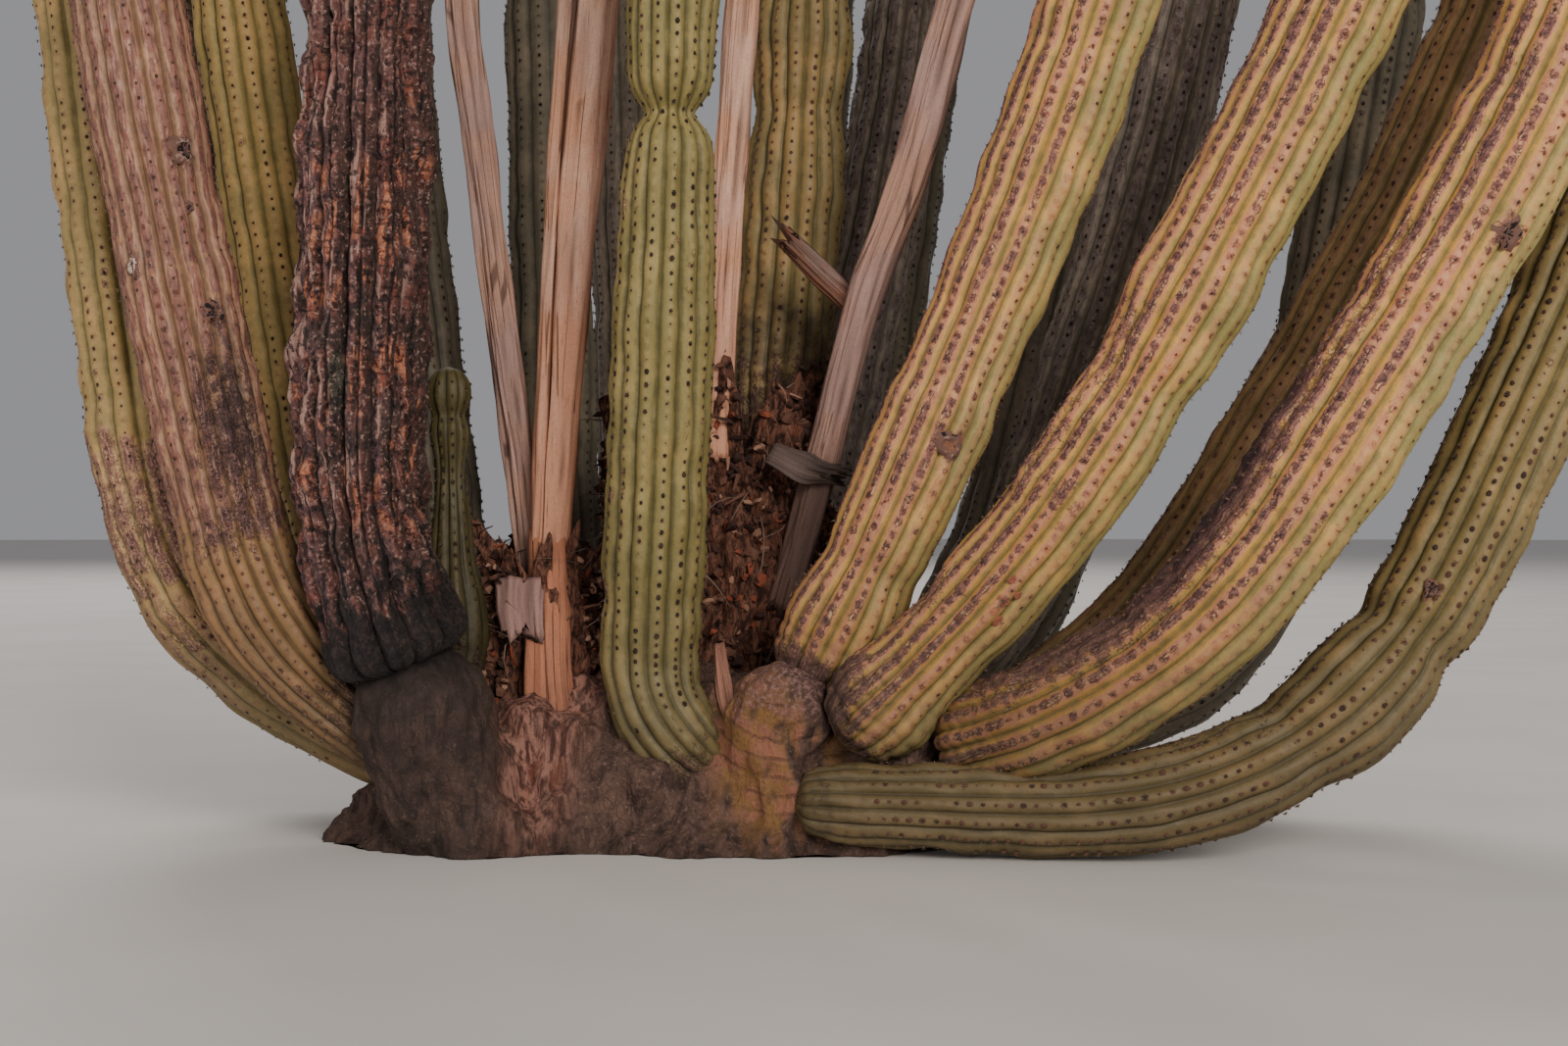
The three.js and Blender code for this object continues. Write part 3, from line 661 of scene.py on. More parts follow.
class Graph:
    """A material's node tree, and the values that its colours start from."""

    def __init__(self, name):
        self.material = bpy.data.materials.new(name)
        self.material.use_nodes = True
        self.tree = self.material.node_tree
        self.shader = self.tree.nodes["Principled BSDF"]

    def node(self, kind, inputs, output=0, **settings):
        node = self.tree.nodes.new(kind)
        for key, value in settings.items():
            setattr(node, key, value)
        for key, value in inputs.items():
            self.feed(node.inputs[key], value)
        return Value(self, node.outputs[output])

    def feed(self, socket, value):
        if isinstance(value, Value):
            self.tree.links.new(value.socket, socket)
        else:
            socket.default_value = value

    def vector(self, x, y, z):
        return self.node("ShaderNodeCombineXYZ", {0: x, 1: y, 2: z})

    def parts(self, vector):
        node = self.tree.nodes.new("ShaderNodeSeparateXYZ")
        self.feed(node.inputs[0], vector)
        return [Value(self, output) for output in node.outputs]

    def place(self):
        return self.node("ShaderNodeTexCoord", {}, output="Object")

    def uv(self, name):
        return self.parts(self.node("ShaderNodeUVMap", {}, uv_map=name))

    def value(self, name):
        return self.node("ShaderNodeAttribute", {}, output="Fac", attribute_name=name)

    def facing(self, way):
        normal = self.node("ShaderNodeNewGeometry", {}, output="Normal")
        return self.node("ShaderNodeVectorMath", {0: normal, 1: way}, output="Value",
                         operation="DOT_PRODUCT")

    def noise(self, where, scale, detail=3.0, roughness=0.55, distortion=0.0):
        inputs = {"Vector": where, "Scale": scale, "Detail": detail, "Roughness": roughness,
                  "Distortion": distortion}
        return self.node("ShaderNodeTexNoise", inputs)

    def cells(self, where, scale):
        return self.node("ShaderNodeTexVoronoi", {"Vector": where, "Scale": scale}, output="Distance",
                         feature="DISTANCE_TO_EDGE")

    def blend(self, share, first, second, blend_type="MIX"):
        return self.node("ShaderNodeMix", {0: share, 6: first, 7: second}, output=2,
                         data_type="RGBA", blend_type=blend_type)

    def finish(self, base, roughness, normal=None, specular=0.35):
        self.feed(self.shader.inputs["Base Color"], base)
        self.feed(self.shader.inputs["Roughness"], roughness)
        self.shader.inputs["Specular IOR Level"].default_value = specular
        if normal is not None:
            self.feed(self.shader.inputs["Normal"], normal)
        return self.material


def distance(first, second):
    return (first * first + second * second).math("SQRT")


def palette(tones):
    return SimpleNamespace(**{key: colour(*tone) for key, tone in tones.items() if isinstance(tone, tuple)})


# Living skin: ribs with green valleys, bleached crests, scabs round the areoles and corky scars

def skin_values(g):
    """Where a point lies on its rib, the noises, and the values that the mesh carries."""
    s = SimpleNamespace()
    s.turn, s.step, _ = g.uv("ribs")
    s.place, s.seed = g.place(), g.value("seed")
    s.across, s.between = (s.turn + 0.5).off_middle(), (s.step + 0.5).off_middle()
    s.from_crest = abs(s.across) * 2.0
    s.drawn = g.vector(s.turn * 0.033, s.step * 0.0028, s.seed)
    s.streaks = g.noise(s.drawn, 210.0, 4.0, 0.6)
    s.mottle = g.noise(s.place, 52.0, 5.0, 0.65)
    s.fine = g.noise(s.place, 270.0, 3.0, 0.6)
    s.broad = g.noise(s.place, 11.0, 4.0, 0.6)
    s.sun, s.cork_here, s.tint = g.value("sun"), g.value("cork"), g.value("tint")
    s.faces_sun = g.facing(SUN)
    return s


def green_skin(g, s, paint):
    """Ochre towards the sun and greener away from it, with narrow olive valleys: greener skin, partly
    darkened as painted shade.
    """
    gilt = s.sun.stirred(s.broad, 0.25, 0.15).ramp(0.45, 0.95, 0.0, 0.85)
    gilt = gilt * s.faces_sun.ramp(-0.55, 0.2, 0.1, 1.0)
    s.soft = s.from_crest.stirred(s.mottle, 0.16, 0.25)
    skin = g.blend(s.sun.stirred(s.broad, 0.25).ramp(0.0, 0.6), paint.shade, paint.flank)
    skin = skin.coat(gilt, paint.gold)
    # Valleys: greener skin, and partly painted shade in the grooves
    skin = skin.coat(s.soft.ramp(0.55, 1.05, 0.0, 0.9), paint.valley)
    return skin.coat(s.faces_sun.ramp(0.3, -0.9, 0.0, 0.4), paint.valley)


def tinted_crests(skin, s, paint, strength):
    """Crests tinted in streaks, with a pale spot between two areoles as a painted highlight, and rusty
    freckles.
    """
    s.rough_crest = s.from_crest.stirred(s.streaks, 0.3, 0.25)
    patchy = (s.mottle + s.sun * 0.2).ramp(0.38, 0.56, 0.3, 1.0)
    pink = s.rough_crest.ramp(0.74, 0.34) * patchy * s.sun.ramp(0.12, 0.60, 0.35, 1.0)
    pink = pink * s.faces_sun.ramp(-0.6, 0.1, 0.3, 1.0)
    skin = skin.coat(pink * strength, paint.crest)
    # Painted highlight: a pale spot on the crest between two areoles
    spot = s.from_crest.ramp(0.40, 0.05) * abs(s.between).ramp(0.16, 0.42)
    skin = skin.coat(spot * 0.20, paint.spot)
    freckles = s.fine.ramp(0.55, 0.64) * s.from_crest.ramp(0.75, 0.35)
    freckled = s.broad.ramp(0.35, 0.65, 0.15, 0.55) * s.sun.ramp(0.1, 0.5, 0.4, 1.0)
    return skin.coat(freckles * freckled, paint.rust)


def aged_stretches(g, skin, s, paint):
    """Whole stretches that have turned pinkish brown, drawn out in streaks."""
    aged = g.blend(s.streaks.ramp(0.36, 0.56), paint.scab, paint.tinted)
    aged = aged.coat(s.streaks.ramp(0.56, 0.66) * s.broad.ramp(0.42, 0.58), paint.spot)
    aged = aged.coat(s.mottle.ramp(0.46, 0.32) * 0.6, paint.flank)
    aged = aged.coat(abs(s.rough_crest - 0.66).ramp(0.20, 0.04, 0.0, 0.55), paint.spot)
    return skin.coat(s.tint * s.soft.stirred(s.fine, 0.2).ramp(0.95, 0.45, 0.25, 0.95), aged)


def scabs(g, skin, s, paint, strength):
    """Scabs round the areoles, purple or rusty."""
    s.ragged = distance(s.across * 1.7, s.between).stirred(s.fine, 0.22, 0.3)
    s.scab = s.ragged.ramp(0.40, 0.18) * s.mottle.ramp(0.40, 0.58)
    s.scab = s.scab.held(s.sun * 1.1 + 0.14 + s.cork_here * 0.8)
    return skin.coat(s.scab * strength, g.blend(s.broad.ramp(0.46, 0.60), paint.scab, paint.rust))


def crusts(g, skin, s, paint):
    """Crust where the scabs run together on the sunny crests, and over corky scars."""
    rough = s.mottle.ramp(0.2, 0.8, -0.42, 0.42).stirred(s.streaks, 0.30, 0.3).stirred(s.fine, 0.26, 0.3)
    own_rib = (s.turn + 0.5).math("FLOOR")
    patches = g.noise(g.vector(own_rib * 0.37, s.step * 0.055, s.seed), 1.0, 3.0, 0.6)
    on_crest = s.sun.ramp(0.0, 0.95, 0.0, 0.84) + s.from_crest.ramp(0.18, 0.74, 0.05, -0.72)
    on_crest = on_crest + patches.ramp(0.40, 0.62, -0.34, 0.20) + s.ragged.ramp(0.16, 0.52, 0.16, -0.20)
    anywhere = s.cork_here + s.from_crest.ramp(0.2, 1.0, 0.08, -0.18)
    crusted = on_crest.math("MAXIMUM", anywhere) + rough
    s.cork = crusted.ramp(0.50, 0.64)
    s.cracked = g.cells(s.drawn, 120.0)
    crust = g.blend(s.fine.ramp(0.38, 0.58), paint.crack, paint.cork)
    crust = crust.coat(s.cracked.ramp(0.10, 0.02, 0.0, 0.45), paint.crack)
    crust = crust.coat(s.streaks.ramp(0.52, 0.64) * s.fine.ramp(0.42, 0.56), paint.spot)
    crust = crust.coat(crusted.ramp(0.95, 1.35, 0.0, 0.75), paint.crack)
    return skin.coat(s.cork * crusted.ramp(0.6, 1.0, 0.72, 0.94), crust)


def skin_material(slot):
    tones = SKIN_COLOURS[slot]
    paint = palette({**tones, **SKIN_MARKS})
    g = Graph(slot)
    s = skin_values(g)
    skin = green_skin(g, s, paint)
    skin = tinted_crests(skin, s, paint, tones["pink"])
    skin = aged_stretches(g, skin, s, paint)
    skin = scabs(g, skin, s, paint, tones["scabs"])
    skin = crusts(g, skin, s, paint)

    # Greyer near the ground, pale scars, blackened places, dark valley lines and the limb's tone
    high = g.parts(s.place)[2]
    skin = skin.coat(high.ramp(0.45, 0.05, 0.0, 0.4), paint.dusty)
    skin = skin.coat(g.value("pale").held(s.streaks.ramp(0.5, 0.62)), paint.scar)
    # Blackened places, and painted shade in the creases of folded feet
    skin = skin.coat(g.value("dark").held(s.mottle.ramp(0.35, 0.6, 0.35, 1.0)), paint.burnt)
    # Painted shade: a dark line along the bottom of each valley. The limb's tone is partly its own colour and
    # partly painted light and shade
    tone = s.from_crest.ramp(0.88, 1.0, 1.0, 0.66) * g.value("tone") * s.fine.ramp(0.1, 0.9, 0.86, 1.14)
    # Painted shade: darker towards the ground
    tone = tone * s.broad.ramp(0.25, 0.75, 0.88, 1.12) * high.ramp(0.0, 0.7, 0.60, 1.0)
    rough_cork = s.cork * (s.cracked.ramp(0.0, 0.16, 0.4, 1.5) + s.fine)
    height = s.fine * 0.3 + s.streaks * 0.25 + rough_cork + s.scab * 0.6
    roughness = s.cork * 0.28 + s.mottle.ramp(0.2, 0.8, 0.5, 0.64)
    return g.finish(skin.shaded(tone), roughness, height.bump(0.0018, 0.8))


# Bark of the burnt arm: plates in columns, two to a rib

def charred_material():
    paint = palette(CHARRED_COLOURS)
    g = Graph("charred_bark")
    turn, step, _ = g.uv("ribs")
    place, seed = g.place(), g.value("seed")
    left, _, high = g.parts(place)
    columns = turn * 2.0
    column = columns.off_middle()
    plates = g.noise(g.vector(turn * 0.044, step * 0.0070, seed), 62.0, 5.0, 0.70, 0.4)
    flakes = g.noise(g.vector(turn * 0.044, step * 0.0030, seed + 3.0), 74.0, 2.5, 0.55)
    chips = g.noise(place, 75.0, 5.0, 0.78, 0.2)
    grains = g.noise(place, 170.0, 4.0, 0.7)
    broad = g.noise(place, 13.0, 3.0)
    between = (step * 0.62 + columns.math("FLOOR") * 0.37).off_middle()
    reach = distance(column * 0.85, between).stirred(chips, 0.08)
    seen = g.noise(place, 31.0, 3.0).ramp(0.46, 0.60)
    ring = abs(reach - 0.25).ramp(0.10, 0.03) * seen
    breaks = abs(between).stirred(chips, 0.09).ramp(0.43, 0.49) * broad.ramp(0.50, 0.60)

    # Dark plates, brown or purple, rusty in patches and grey with soot in others
    bark = g.blend(plates.ramp(0.40, 0.60), paint.plate, paint.brown)
    bark = bark.coat(g.facing((-0.9, -0.3, 0.0)).ramp(0.2, 0.8, 0.0, 0.7), paint.purple)
    bark = bark.coat(high.ramp(0.75, 1.15) * 0.5, paint.upper)
    bark = bark.coat(broad.ramp(0.50, 0.62) * plates.ramp(0.44, 0.56) * 0.7, paint.rust)
    bark = bark.coat(broad.ramp(0.46, 0.36) * high.ramp(1.15, 0.85) * 0.7, paint.soot)
    bark = bark.coat(reach.ramp(0.16, 0.08) * seen * 0.7, paint.pit)
    bark = bark.coat(ring * grains.ramp(0.42, 0.58) * 0.75, paint.ring)
    shady = g.facing((0.95, -0.2, 0.0)).stirred(broad, 0.2, 0.15)
    bark = bark.coat(shady.ramp(0.15, 0.75, 0.0, 0.65), paint.shade)

    # Flakes where the bark has come off: orange, or bleached on the side that faces left
    bare = broad.ramp(0.42, 0.54) * high.ramp(0.40, 0.50) * shady.ramp(0.85, 0.50)
    bare = bare * high.ramp(1.15, 0.88, 0.12, 1.0)
    bits = flakes.ramp(0.520, 0.550) * bare
    bark = bark.coat(bits, g.blend(chips.ramp(0.40, 0.62), paint.orange, paint.peach))
    bleached = flakes.ramp(0.46, 0.43) * g.facing((-0.95, -0.3, 0.0)).ramp(0.40, 0.65)
    bleached = bleached * high.ramp(0.40, 0.50)
    bark = bark.coat(bleached * 0.85, paint.bleached)
    scar = g.value("pale").ramp(0.35, 0.5)
    bark = bark.coat(scar, g.blend(chips.ramp(0.4, 0.6), paint.scar_dark, paint.scar))

    # Pale specks as painted glints, black gaps between the plates, partly dark bark and partly painted shade
    # in the grooves, and a burnt foot
    bark = bark.coat(grains.ramp(0.56, 0.64, 0.0, 0.8), paint.speck)
    bark = bark.coat(chips.ramp(0.475, 0.40, 0.0, 0.9), paint.hole)
    from_column = abs(column) * 2.0
    gaps = from_column.stirred(plates, -0.16).ramp(0.80, 0.97).math("MAXIMUM", breaks * 0.75)
    bark = bark.coat(gaps * 0.9, paint.gap)
    burnt = (high.stirred(plates, 0.06) + left * -0.35).ramp(0.56, 0.49)
    bark = bark.coat(burnt * 0.94, g.blend(chips.ramp(0.46, 0.64), paint.char, paint.ash))
    height = plates * 0.9 + chips * 1.9 + grains * 0.7 + ring * 0.35 - gaps * 0.5 + bits * -0.15
    roughness = grains.ramp(0.35, 0.65, 0.30, 0.70) + burnt * 0.2
    return g.finish(bark, roughness, height.bump(0.007), 0.5)


# Bare wood with a grain along it, fine cracks, and a warmer foot where asked

def wood_material(name, light, dark, warm, foot=0.0):
    paint = palette(WOOD_MARKS)
    g = Graph(name)
    turn, step, _ = g.uv("grain")
    place, seed = g.place(), g.value("seed")
    drawn = g.vector(turn, step * 0.05, seed)
    grain = g.noise(drawn, 420.0, 4.0, 0.65, 0.3)
    bands = g.noise(drawn, 95.0, 3.0, 0.5)
    patches = g.noise(place, 9.0, 3.0)
    fine = g.noise(place, 330.0, 3.0)
    cracks = g.cells(g.vector(turn, step * 0.022, seed), 70.0)
    crack = cracks.ramp(0.026, 0.008) * patches.ramp(0.45, 0.55)
    wood = g.blend(bands.ramp(0.35, 0.65), dark, light)
    wood = wood.coat(patches.ramp(0.42, 0.66, 0.0, 0.7), warm)
    wood = wood.coat(g.parts(place)[2].stirred(bands, 0.06).ramp(1.05, 0.50, 0.0, foot), paint.foot)
    wood = wood.coat(grain.ramp(0.46, 0.30, 0.0, 0.45), paint.grain)
    wood = wood.coat(crack * 0.7, paint.crack)
    # Painted shade in grooves and cracks, and a darker foot
    wood = wood.coat(g.value("dark") * 0.85, paint.damp)
    wood = wood.shaded(fine.ramp(0.2, 0.8, 0.88, 1.12))
    height = grain * 0.8 + bands * 0.8 - crack * 1.4
    return g.finish(wood, grain.ramp(0.3, 0.7, 0.85, 0.68), height.bump(0.0016, 0.8), 0.3)


def bark_material():
    paint = palette(MOUND_COLOURS)
    g = Graph("woody_bark")
    place = g.place()
    x, y, z = g.parts(place)
    woody, knee = g.value("woody"), g.value("knee")
    lumps = g.noise(place, 24.0, 5.0, 0.68, 0.4)
    fine = g.noise(place, 150.0, 5.0, 0.7)
    upright = g.noise(g.vector(x, y, z * 0.22), 60.0, 4.0, 0.62, 0.5)
    cells = g.cells(g.vector(x + fine * 0.010, y + lumps * 0.02, z * 0.6), 95.0)

    # Crusty cork, brown between its lumps
    bark = g.blend(lumps.ramp(0.34, 0.62), paint.cork_dark, paint.cork)
    bark = bark.coat(upright.ramp(0.48, 0.34, 0.0, 0.75), paint.cleft)
    bark = bark.coat(fine.ramp(0.52, 0.70, 0.0, 0.6), paint.dusty)
    crack = cells.ramp(0.10, 0.02) * lumps.ramp(0.46, 0.60) * knee.ramp(0.0, 0.5, 1.0, 0.1)
    bark = bark.coat(crack * 0.35, paint.crack)

    # The smooth stump, drawn out in streaks
    streaky = g.vector(x, y, z * 0.12)
    grain = g.noise(streaky, 120.0, 5.0, 0.62)
    bands = g.noise(streaky, 42.0, 4.0, 0.6)
    smooth = g.blend(grain.ramp(0.36, 0.66), paint.smooth_dark, paint.smooth)
    smooth = smooth.coat(lumps.ramp(0.50, 0.70, 0.0, 0.5), paint.smooth_brown)
    smooth = smooth.coat(fine.ramp(0.62, 0.74, 0.0, 0.4), paint.smooth_pale)
    bark = bark.coat(woody * lumps.ramp(0.28, 0.40, 0.75, 1.0), smooth)

    # The knee: ochre on its left, folded round its bend, with a crust on top
    ochre = g.blend(lumps.ramp(0.42, 0.62), paint.ochre, paint.ochre_pink)
    ochre = ochre.coat(fine.ramp(0.46, 0.34, 0.0, 0.6), paint.ochre_pit)
    side = g.facing((-0.9, -0.35, 0.1)).stirred(lumps, 0.2, 0.25)
    bark = bark.coat(knee * side.ramp(-0.15, 0.6), ochre)
    wave = (distance(x - 0.115, z - 0.275) * 250.0 + lumps * 6.0).math("SINE")
    fold = wave.ramp(0.70, 1.0) * (knee * lumps.ramp(0.40, 0.58))
    # Painted shade in the creases of the folds
    bark = bark.coat(fold * 0.7, paint.fold)
    crust = knee * z.stirred(lumps, 0.03).ramp(0.175, 0.215) * fine.ramp(0.40, 0.52, 0.3, 1.0)
    bark = bark.coat(crust * 0.85, g.blend(fine.ramp(0.45, 0.6), paint.crust_dark, paint.crust))

    # The rotten corner, and darker towards the ground
    fibrous = g.blend(grain.ramp(0.40, 0.60), paint.fibre_dark, paint.fibre)
    fibrous = fibrous.coat(bands.ramp(0.54, 0.68, 0.0, 0.6), paint.rotten)
    bark = bark.coat(g.value("rot") * bands.ramp(0.30, 0.48), fibrous)
    bark = bark.shaded(z.ramp(0.0, 0.06, 0.70, 1.0))
    coarse = lumps * 1.2 + fine * 0.8 - crack * 0.25 + (upright * 0.8 - fold * 0.35)
    height = coarse * woody.ramp(0.0, 1.0, 1.0, 0.22) + grain * woody.ramp(0.0, 1.0, 0.6, 0.25)
    return g.finish(bark, fine.ramp(0.2, 0.8, 0.72, 0.95), height.bump(0.006, 0.9), 0.3)


def rot_material():
    paint = palette(ROT_COLOURS)
    g = Graph("rotten_wood")
    place = g.place()
    x, y, z = g.parts(place)
    stringy = g.noise(g.vector(x, y, z * 0.35), 120.0, 5.0, 0.7, 0.8)
    lumps = g.noise(place, 40.0, 4.0, 0.6)
    rot = g.blend(stringy.ramp(0.38, 0.64), paint.brown, paint.tan)
    rot = rot.coat(lumps.ramp(0.54, 0.70, 0.0, 0.6), paint.red)
    rot = rot.coat(lumps.ramp(0.42, 0.30), paint.hollow)
    return g.finish(rot, 0.9, (stringy + lumps * 0.8).bump(0.008), 0.2)


def plain_materials(kind, tones, roughness):
    """One plain colour for each tone, for the small things that are joined into one piece."""
    made = []
    for name, tone in tones.items():
        g = Graph(kind + "_" + name)
        fine = g.noise(g.place(), 500.0, 2.0)
        made.append(g.finish(colour(*tone), fine.ramp(0.2, 0.8, roughness - 0.1, roughness + 0.1), None, 0.3))
    return made


MATERIALS = {slot: skin_material(slot) for slot in SKIN_COLOURS}
MATERIALS["charred_bark"] = charred_material()
MATERIALS["woody_bark"] = bark_material()
MATERIALS["rotten_wood"] = rot_material()
for name, (light, dark, warm, foot) in WOODS.items():
    MATERIALS[name] = wood_material(name, colour(*light), colour(*dark), colour(*warm), foot)
for name, tone in FLAP_TONES.items():
    light = colour(*tone)
    dark = [FLAP_SHADE * part for part in light[:3]] + [1.0]
    MATERIALS["flap_" + name] = wood_material("flap_" + name, light, dark, light)


# Swept limbs, by the source's rule

def centre_line(arm):
    """Points of a limb's centre line, walked from its foot up to its height."""
    walked = WALK * np.arange(int((arm.height + SPARE_WALK) / WALK))
    along = walked + WALK / 2 - arm.run
    turned = ease(along / arm.bend)
    raised = ease((along - arm.bend) / UPRIGHT_LENGTH)
    first, full, last = arm.rise
    rise = mix(first, full, turned) + (last - full) * raised
    steps = WALK * towards(mix(*arm.heading, turned), rise)
    points = np.vstack([[arm.foot], arm.foot + np.cumsum(steps, axis=0)])
    return points[:np.argmax(points[:, 2] >= arm.height) + 1]


def frames_along(points):
    ways = unit(np.gradient(points, axis=0))
    sides = np.empty_like(ways)
    side = np.cross((0.0, 0.0, 1.0), ways[0])
    if np.linalg.norm(side) < 0.2:
        side = np.array((1.0, 0.0, 0.0))
    for place, way in enumerate(ways):
        side = side - way * side.dot(way)
        side = side / np.linalg.norm(side)
        sides[place] = side
    return ways, sides, np.cross(ways, sides)


def girth_along(arm):
    """A limb's girth, with its narrow foot, necks, waists and domed tip."""
    share, length = arm.pinch
    heights = arm.line[:, 2]
    girth = arm.girth * mix(share, 1, ease(arm.along / length))
    rounded = 1 - np.clip(arm.along / FOOT_ROUNDING, 0, 1)
    girth *= mix(FOOT_SHARE, 1, np.sqrt(1 - rounded ** 2))
    for height, loss, half in arm.necks:
        steep = 1.25 if half < TIGHT_NECK else 2.0
        girth *= 1 - loss * bell(np.abs(heights - height) / half, steep)
    girth *= growth_waists(arm)
    left = np.clip((arm.along[-1] - arm.along) / (DOME_SHARE * arm.girth), 0, 1)
    return girth * np.sqrt(1 - (1 - left) ** 2)


def growth_waists(arm):
    """Slight waists where a year's growth ended, above what the photo shows."""
    rng = np.random.default_rng(seed_of(arm.name) + 40)
    shrink = np.ones(len(arm.line))
    height = (REAR_WAISTS if arm.rear else PHOTO_TOP) + rng.uniform(0.0, 0.2)
    while height < arm.height - 0.12:
        depth, half = rng.uniform(*WAIST_DEPTH), rng.uniform(*WAIST_HALF)
        shrink -= depth * bell(np.abs(arm.line[:, 2] - height) / half, 1.4)
        height += rng.uniform(*YEARLY_GROWTH)
    return shrink


def sweep(arm, waists):
    """Centre line, frames and girth of a limb at each walking step."""
    seed = seed_of(arm.name)
    arm.line = centre_line(arm)
    arm.ways, arm.sides, arm.ups = frames_along(arm.line)
    arm.along = WALK * np.arange(len(arm.line))
    where = arm.along[:, None]
    swollen = 1 + 0.016 * ripple(where, 0.16, seed) + 0.010 * ripple(where, 0.05, seed + 1)
    arm.girths = girth_along(arm) * swollen
    for height, loss, half in waists:
        arm.girths = arm.girths * (1 - loss * bell((arm.line[:, 2] - height) / half))


def chosen_rings(arm):
    """Steps that carry a ring: close together low down and on the domed tip."""
    last = len(arm.line) - 1
    dome = last - int(DOME_SHARE * arm.girth / WALK)
    low, close = (REAR_NEAR_HEIGHT, REAR_RING) if arm.rear else (NEAR_HEIGHT, 1)
    chosen = [0]
    while chosen[-1] < last - 1:
        at = chosen[-1]
        stride = close if arm.line[at, 2] < low else FAR_RING
        stride = min(stride, DOME_RING) if at > dome else stride
        chosen.append(min(at + stride, last - 1))
    return np.array(chosen)


def lay_ribs(arm, offsets):
    """The limb's ribbed surface, ring by ring."""
    arm.rings = chosen_rings(arm)
    arm.offsets = np.array(offsets)
    arm.turns = (np.arange(arm.ribs)[:, None] + arm.offsets).ravel()
    arm.own_rib = np.floor(arm.turns + 0.5).astype(int)
    arm.edge = np.abs(2 * np.tile(arm.offsets, arm.ribs))
    angles = 2 * math.pi * arm.turns / arm.ribs
    drop = RIB_DEPTH * (0.62 * arm.edge ** 2 + 0.38 * arm.edge ** 5)
    arm.radial = (arm.sides[arm.rings][:, None] * np.cos(angles)[:, None]
                  + arm.ups[arm.rings][:, None] * np.sin(angles)[:, None])
    radius = arm.girths[arm.rings][:, None] / 2 * (1 - drop)
    arm.points = arm.line[arm.rings][:, None] + arm.radial * radius[..., None]


def spot_on(arm, height, heading, tilt=0):
    """The walking step at a height, and the way out of the limb there."""
    at = int(np.argmin(np.abs(arm.line[:, 2] - height)))
    out = towards(heading, tilt)
    return at, unit(out - arm.ways[at] * out.dot(arm.ways[at]))


def spot_weight(arm, height, heading, tilt, half_along, half_across):
    at, out = spot_on(arm, height, heading, tilt)
    offset = arm.points - (arm.line[at] + out * arm.girths[at] / 2)
    lengthwise = offset @ arm.ways[at]
    aside = np.linalg.norm(offset - lengthwise[..., None] * arm.ways[at], axis=-1)
    return np.exp(-(lengthwise / half_along) ** 2 - (aside / half_across) ** 2)


def lay_marks(arm, look, from_foot):
    """How strong each kind of mark is at each point of the skin."""
    rng = np.random.default_rng(seed_of(arm.name))
    marks = {kind: np.zeros(arm.points.shape[:2]) for kind in ("cork", "dark", "tint", "pale")}
    stepped = arm.points[..., 2] + rng.uniform(-BAND_STEP, BAND_STEP, arm.ribs + 1)[arm.own_rib]
    for kind, low, high, amount in look.get("bands", ()):
        inside = ease((stepped - low) / BAND_EDGE) * ease((high - stepped) / BAND_EDGE)
        marks[kind] += amount * inside
    for kind, *mark, amount in look.get("marks", ()):
        marks[kind] += amount * spot_weight(arm, *mark)
    sunny = np.clip(0.55 + 0.6 * (arm.radial @ unit(np.array(SUN))), 0, 1)
    marks["sun"] = look.get("sun", 0.2) * sunny ** 1.8
    marks["cork"] += 0.25 * ease(1 - from_foot / 0.08) * (arm.name != "arm_centre_front")
    marks["dark"] += 0.30 * ease(1 - from_foot / 0.10)
    return marks


def bark_relief(arm, relief, spread, seed):
    """Plates, knobs, grooves and cross breaks of the burnt arm, softer at its foot."""
    points = arm.points
    plates = ripple(points * (1, 1, 0.45), 0.020, seed + 5, 24)
    knobs = ripple(points, 0.055, seed + 6, 24)
    breaks = np.abs(ripple(points * (0.35, 0.35, 1), 0.013, seed + 7, 24))
    grooves = np.abs(ripple(spread * (1, 0.5, 1), 0.016, seed + 8, 24))
    burnt = ease((0.44 - points[..., 2]) / 0.12)
    column = np.tile(np.abs(2 * ((2 * arm.offsets) % 1 - 0.5)), arm.ribs) ** 8
    relief = relief - (1 - 0.7 * burnt) * (0.008 * arm.edge ** 6 + 0.005 * column * (1 + plates))
    relief = relief + 0.0030 * plates + 0.0035 * knobs
    relief = relief - (1 - 0.6 * burnt) * 0.0060 * bell(grooves / 0.25)
    return relief - (1 - 0.6 * burnt) * 0.0038 * bell(breaks / 0.25)


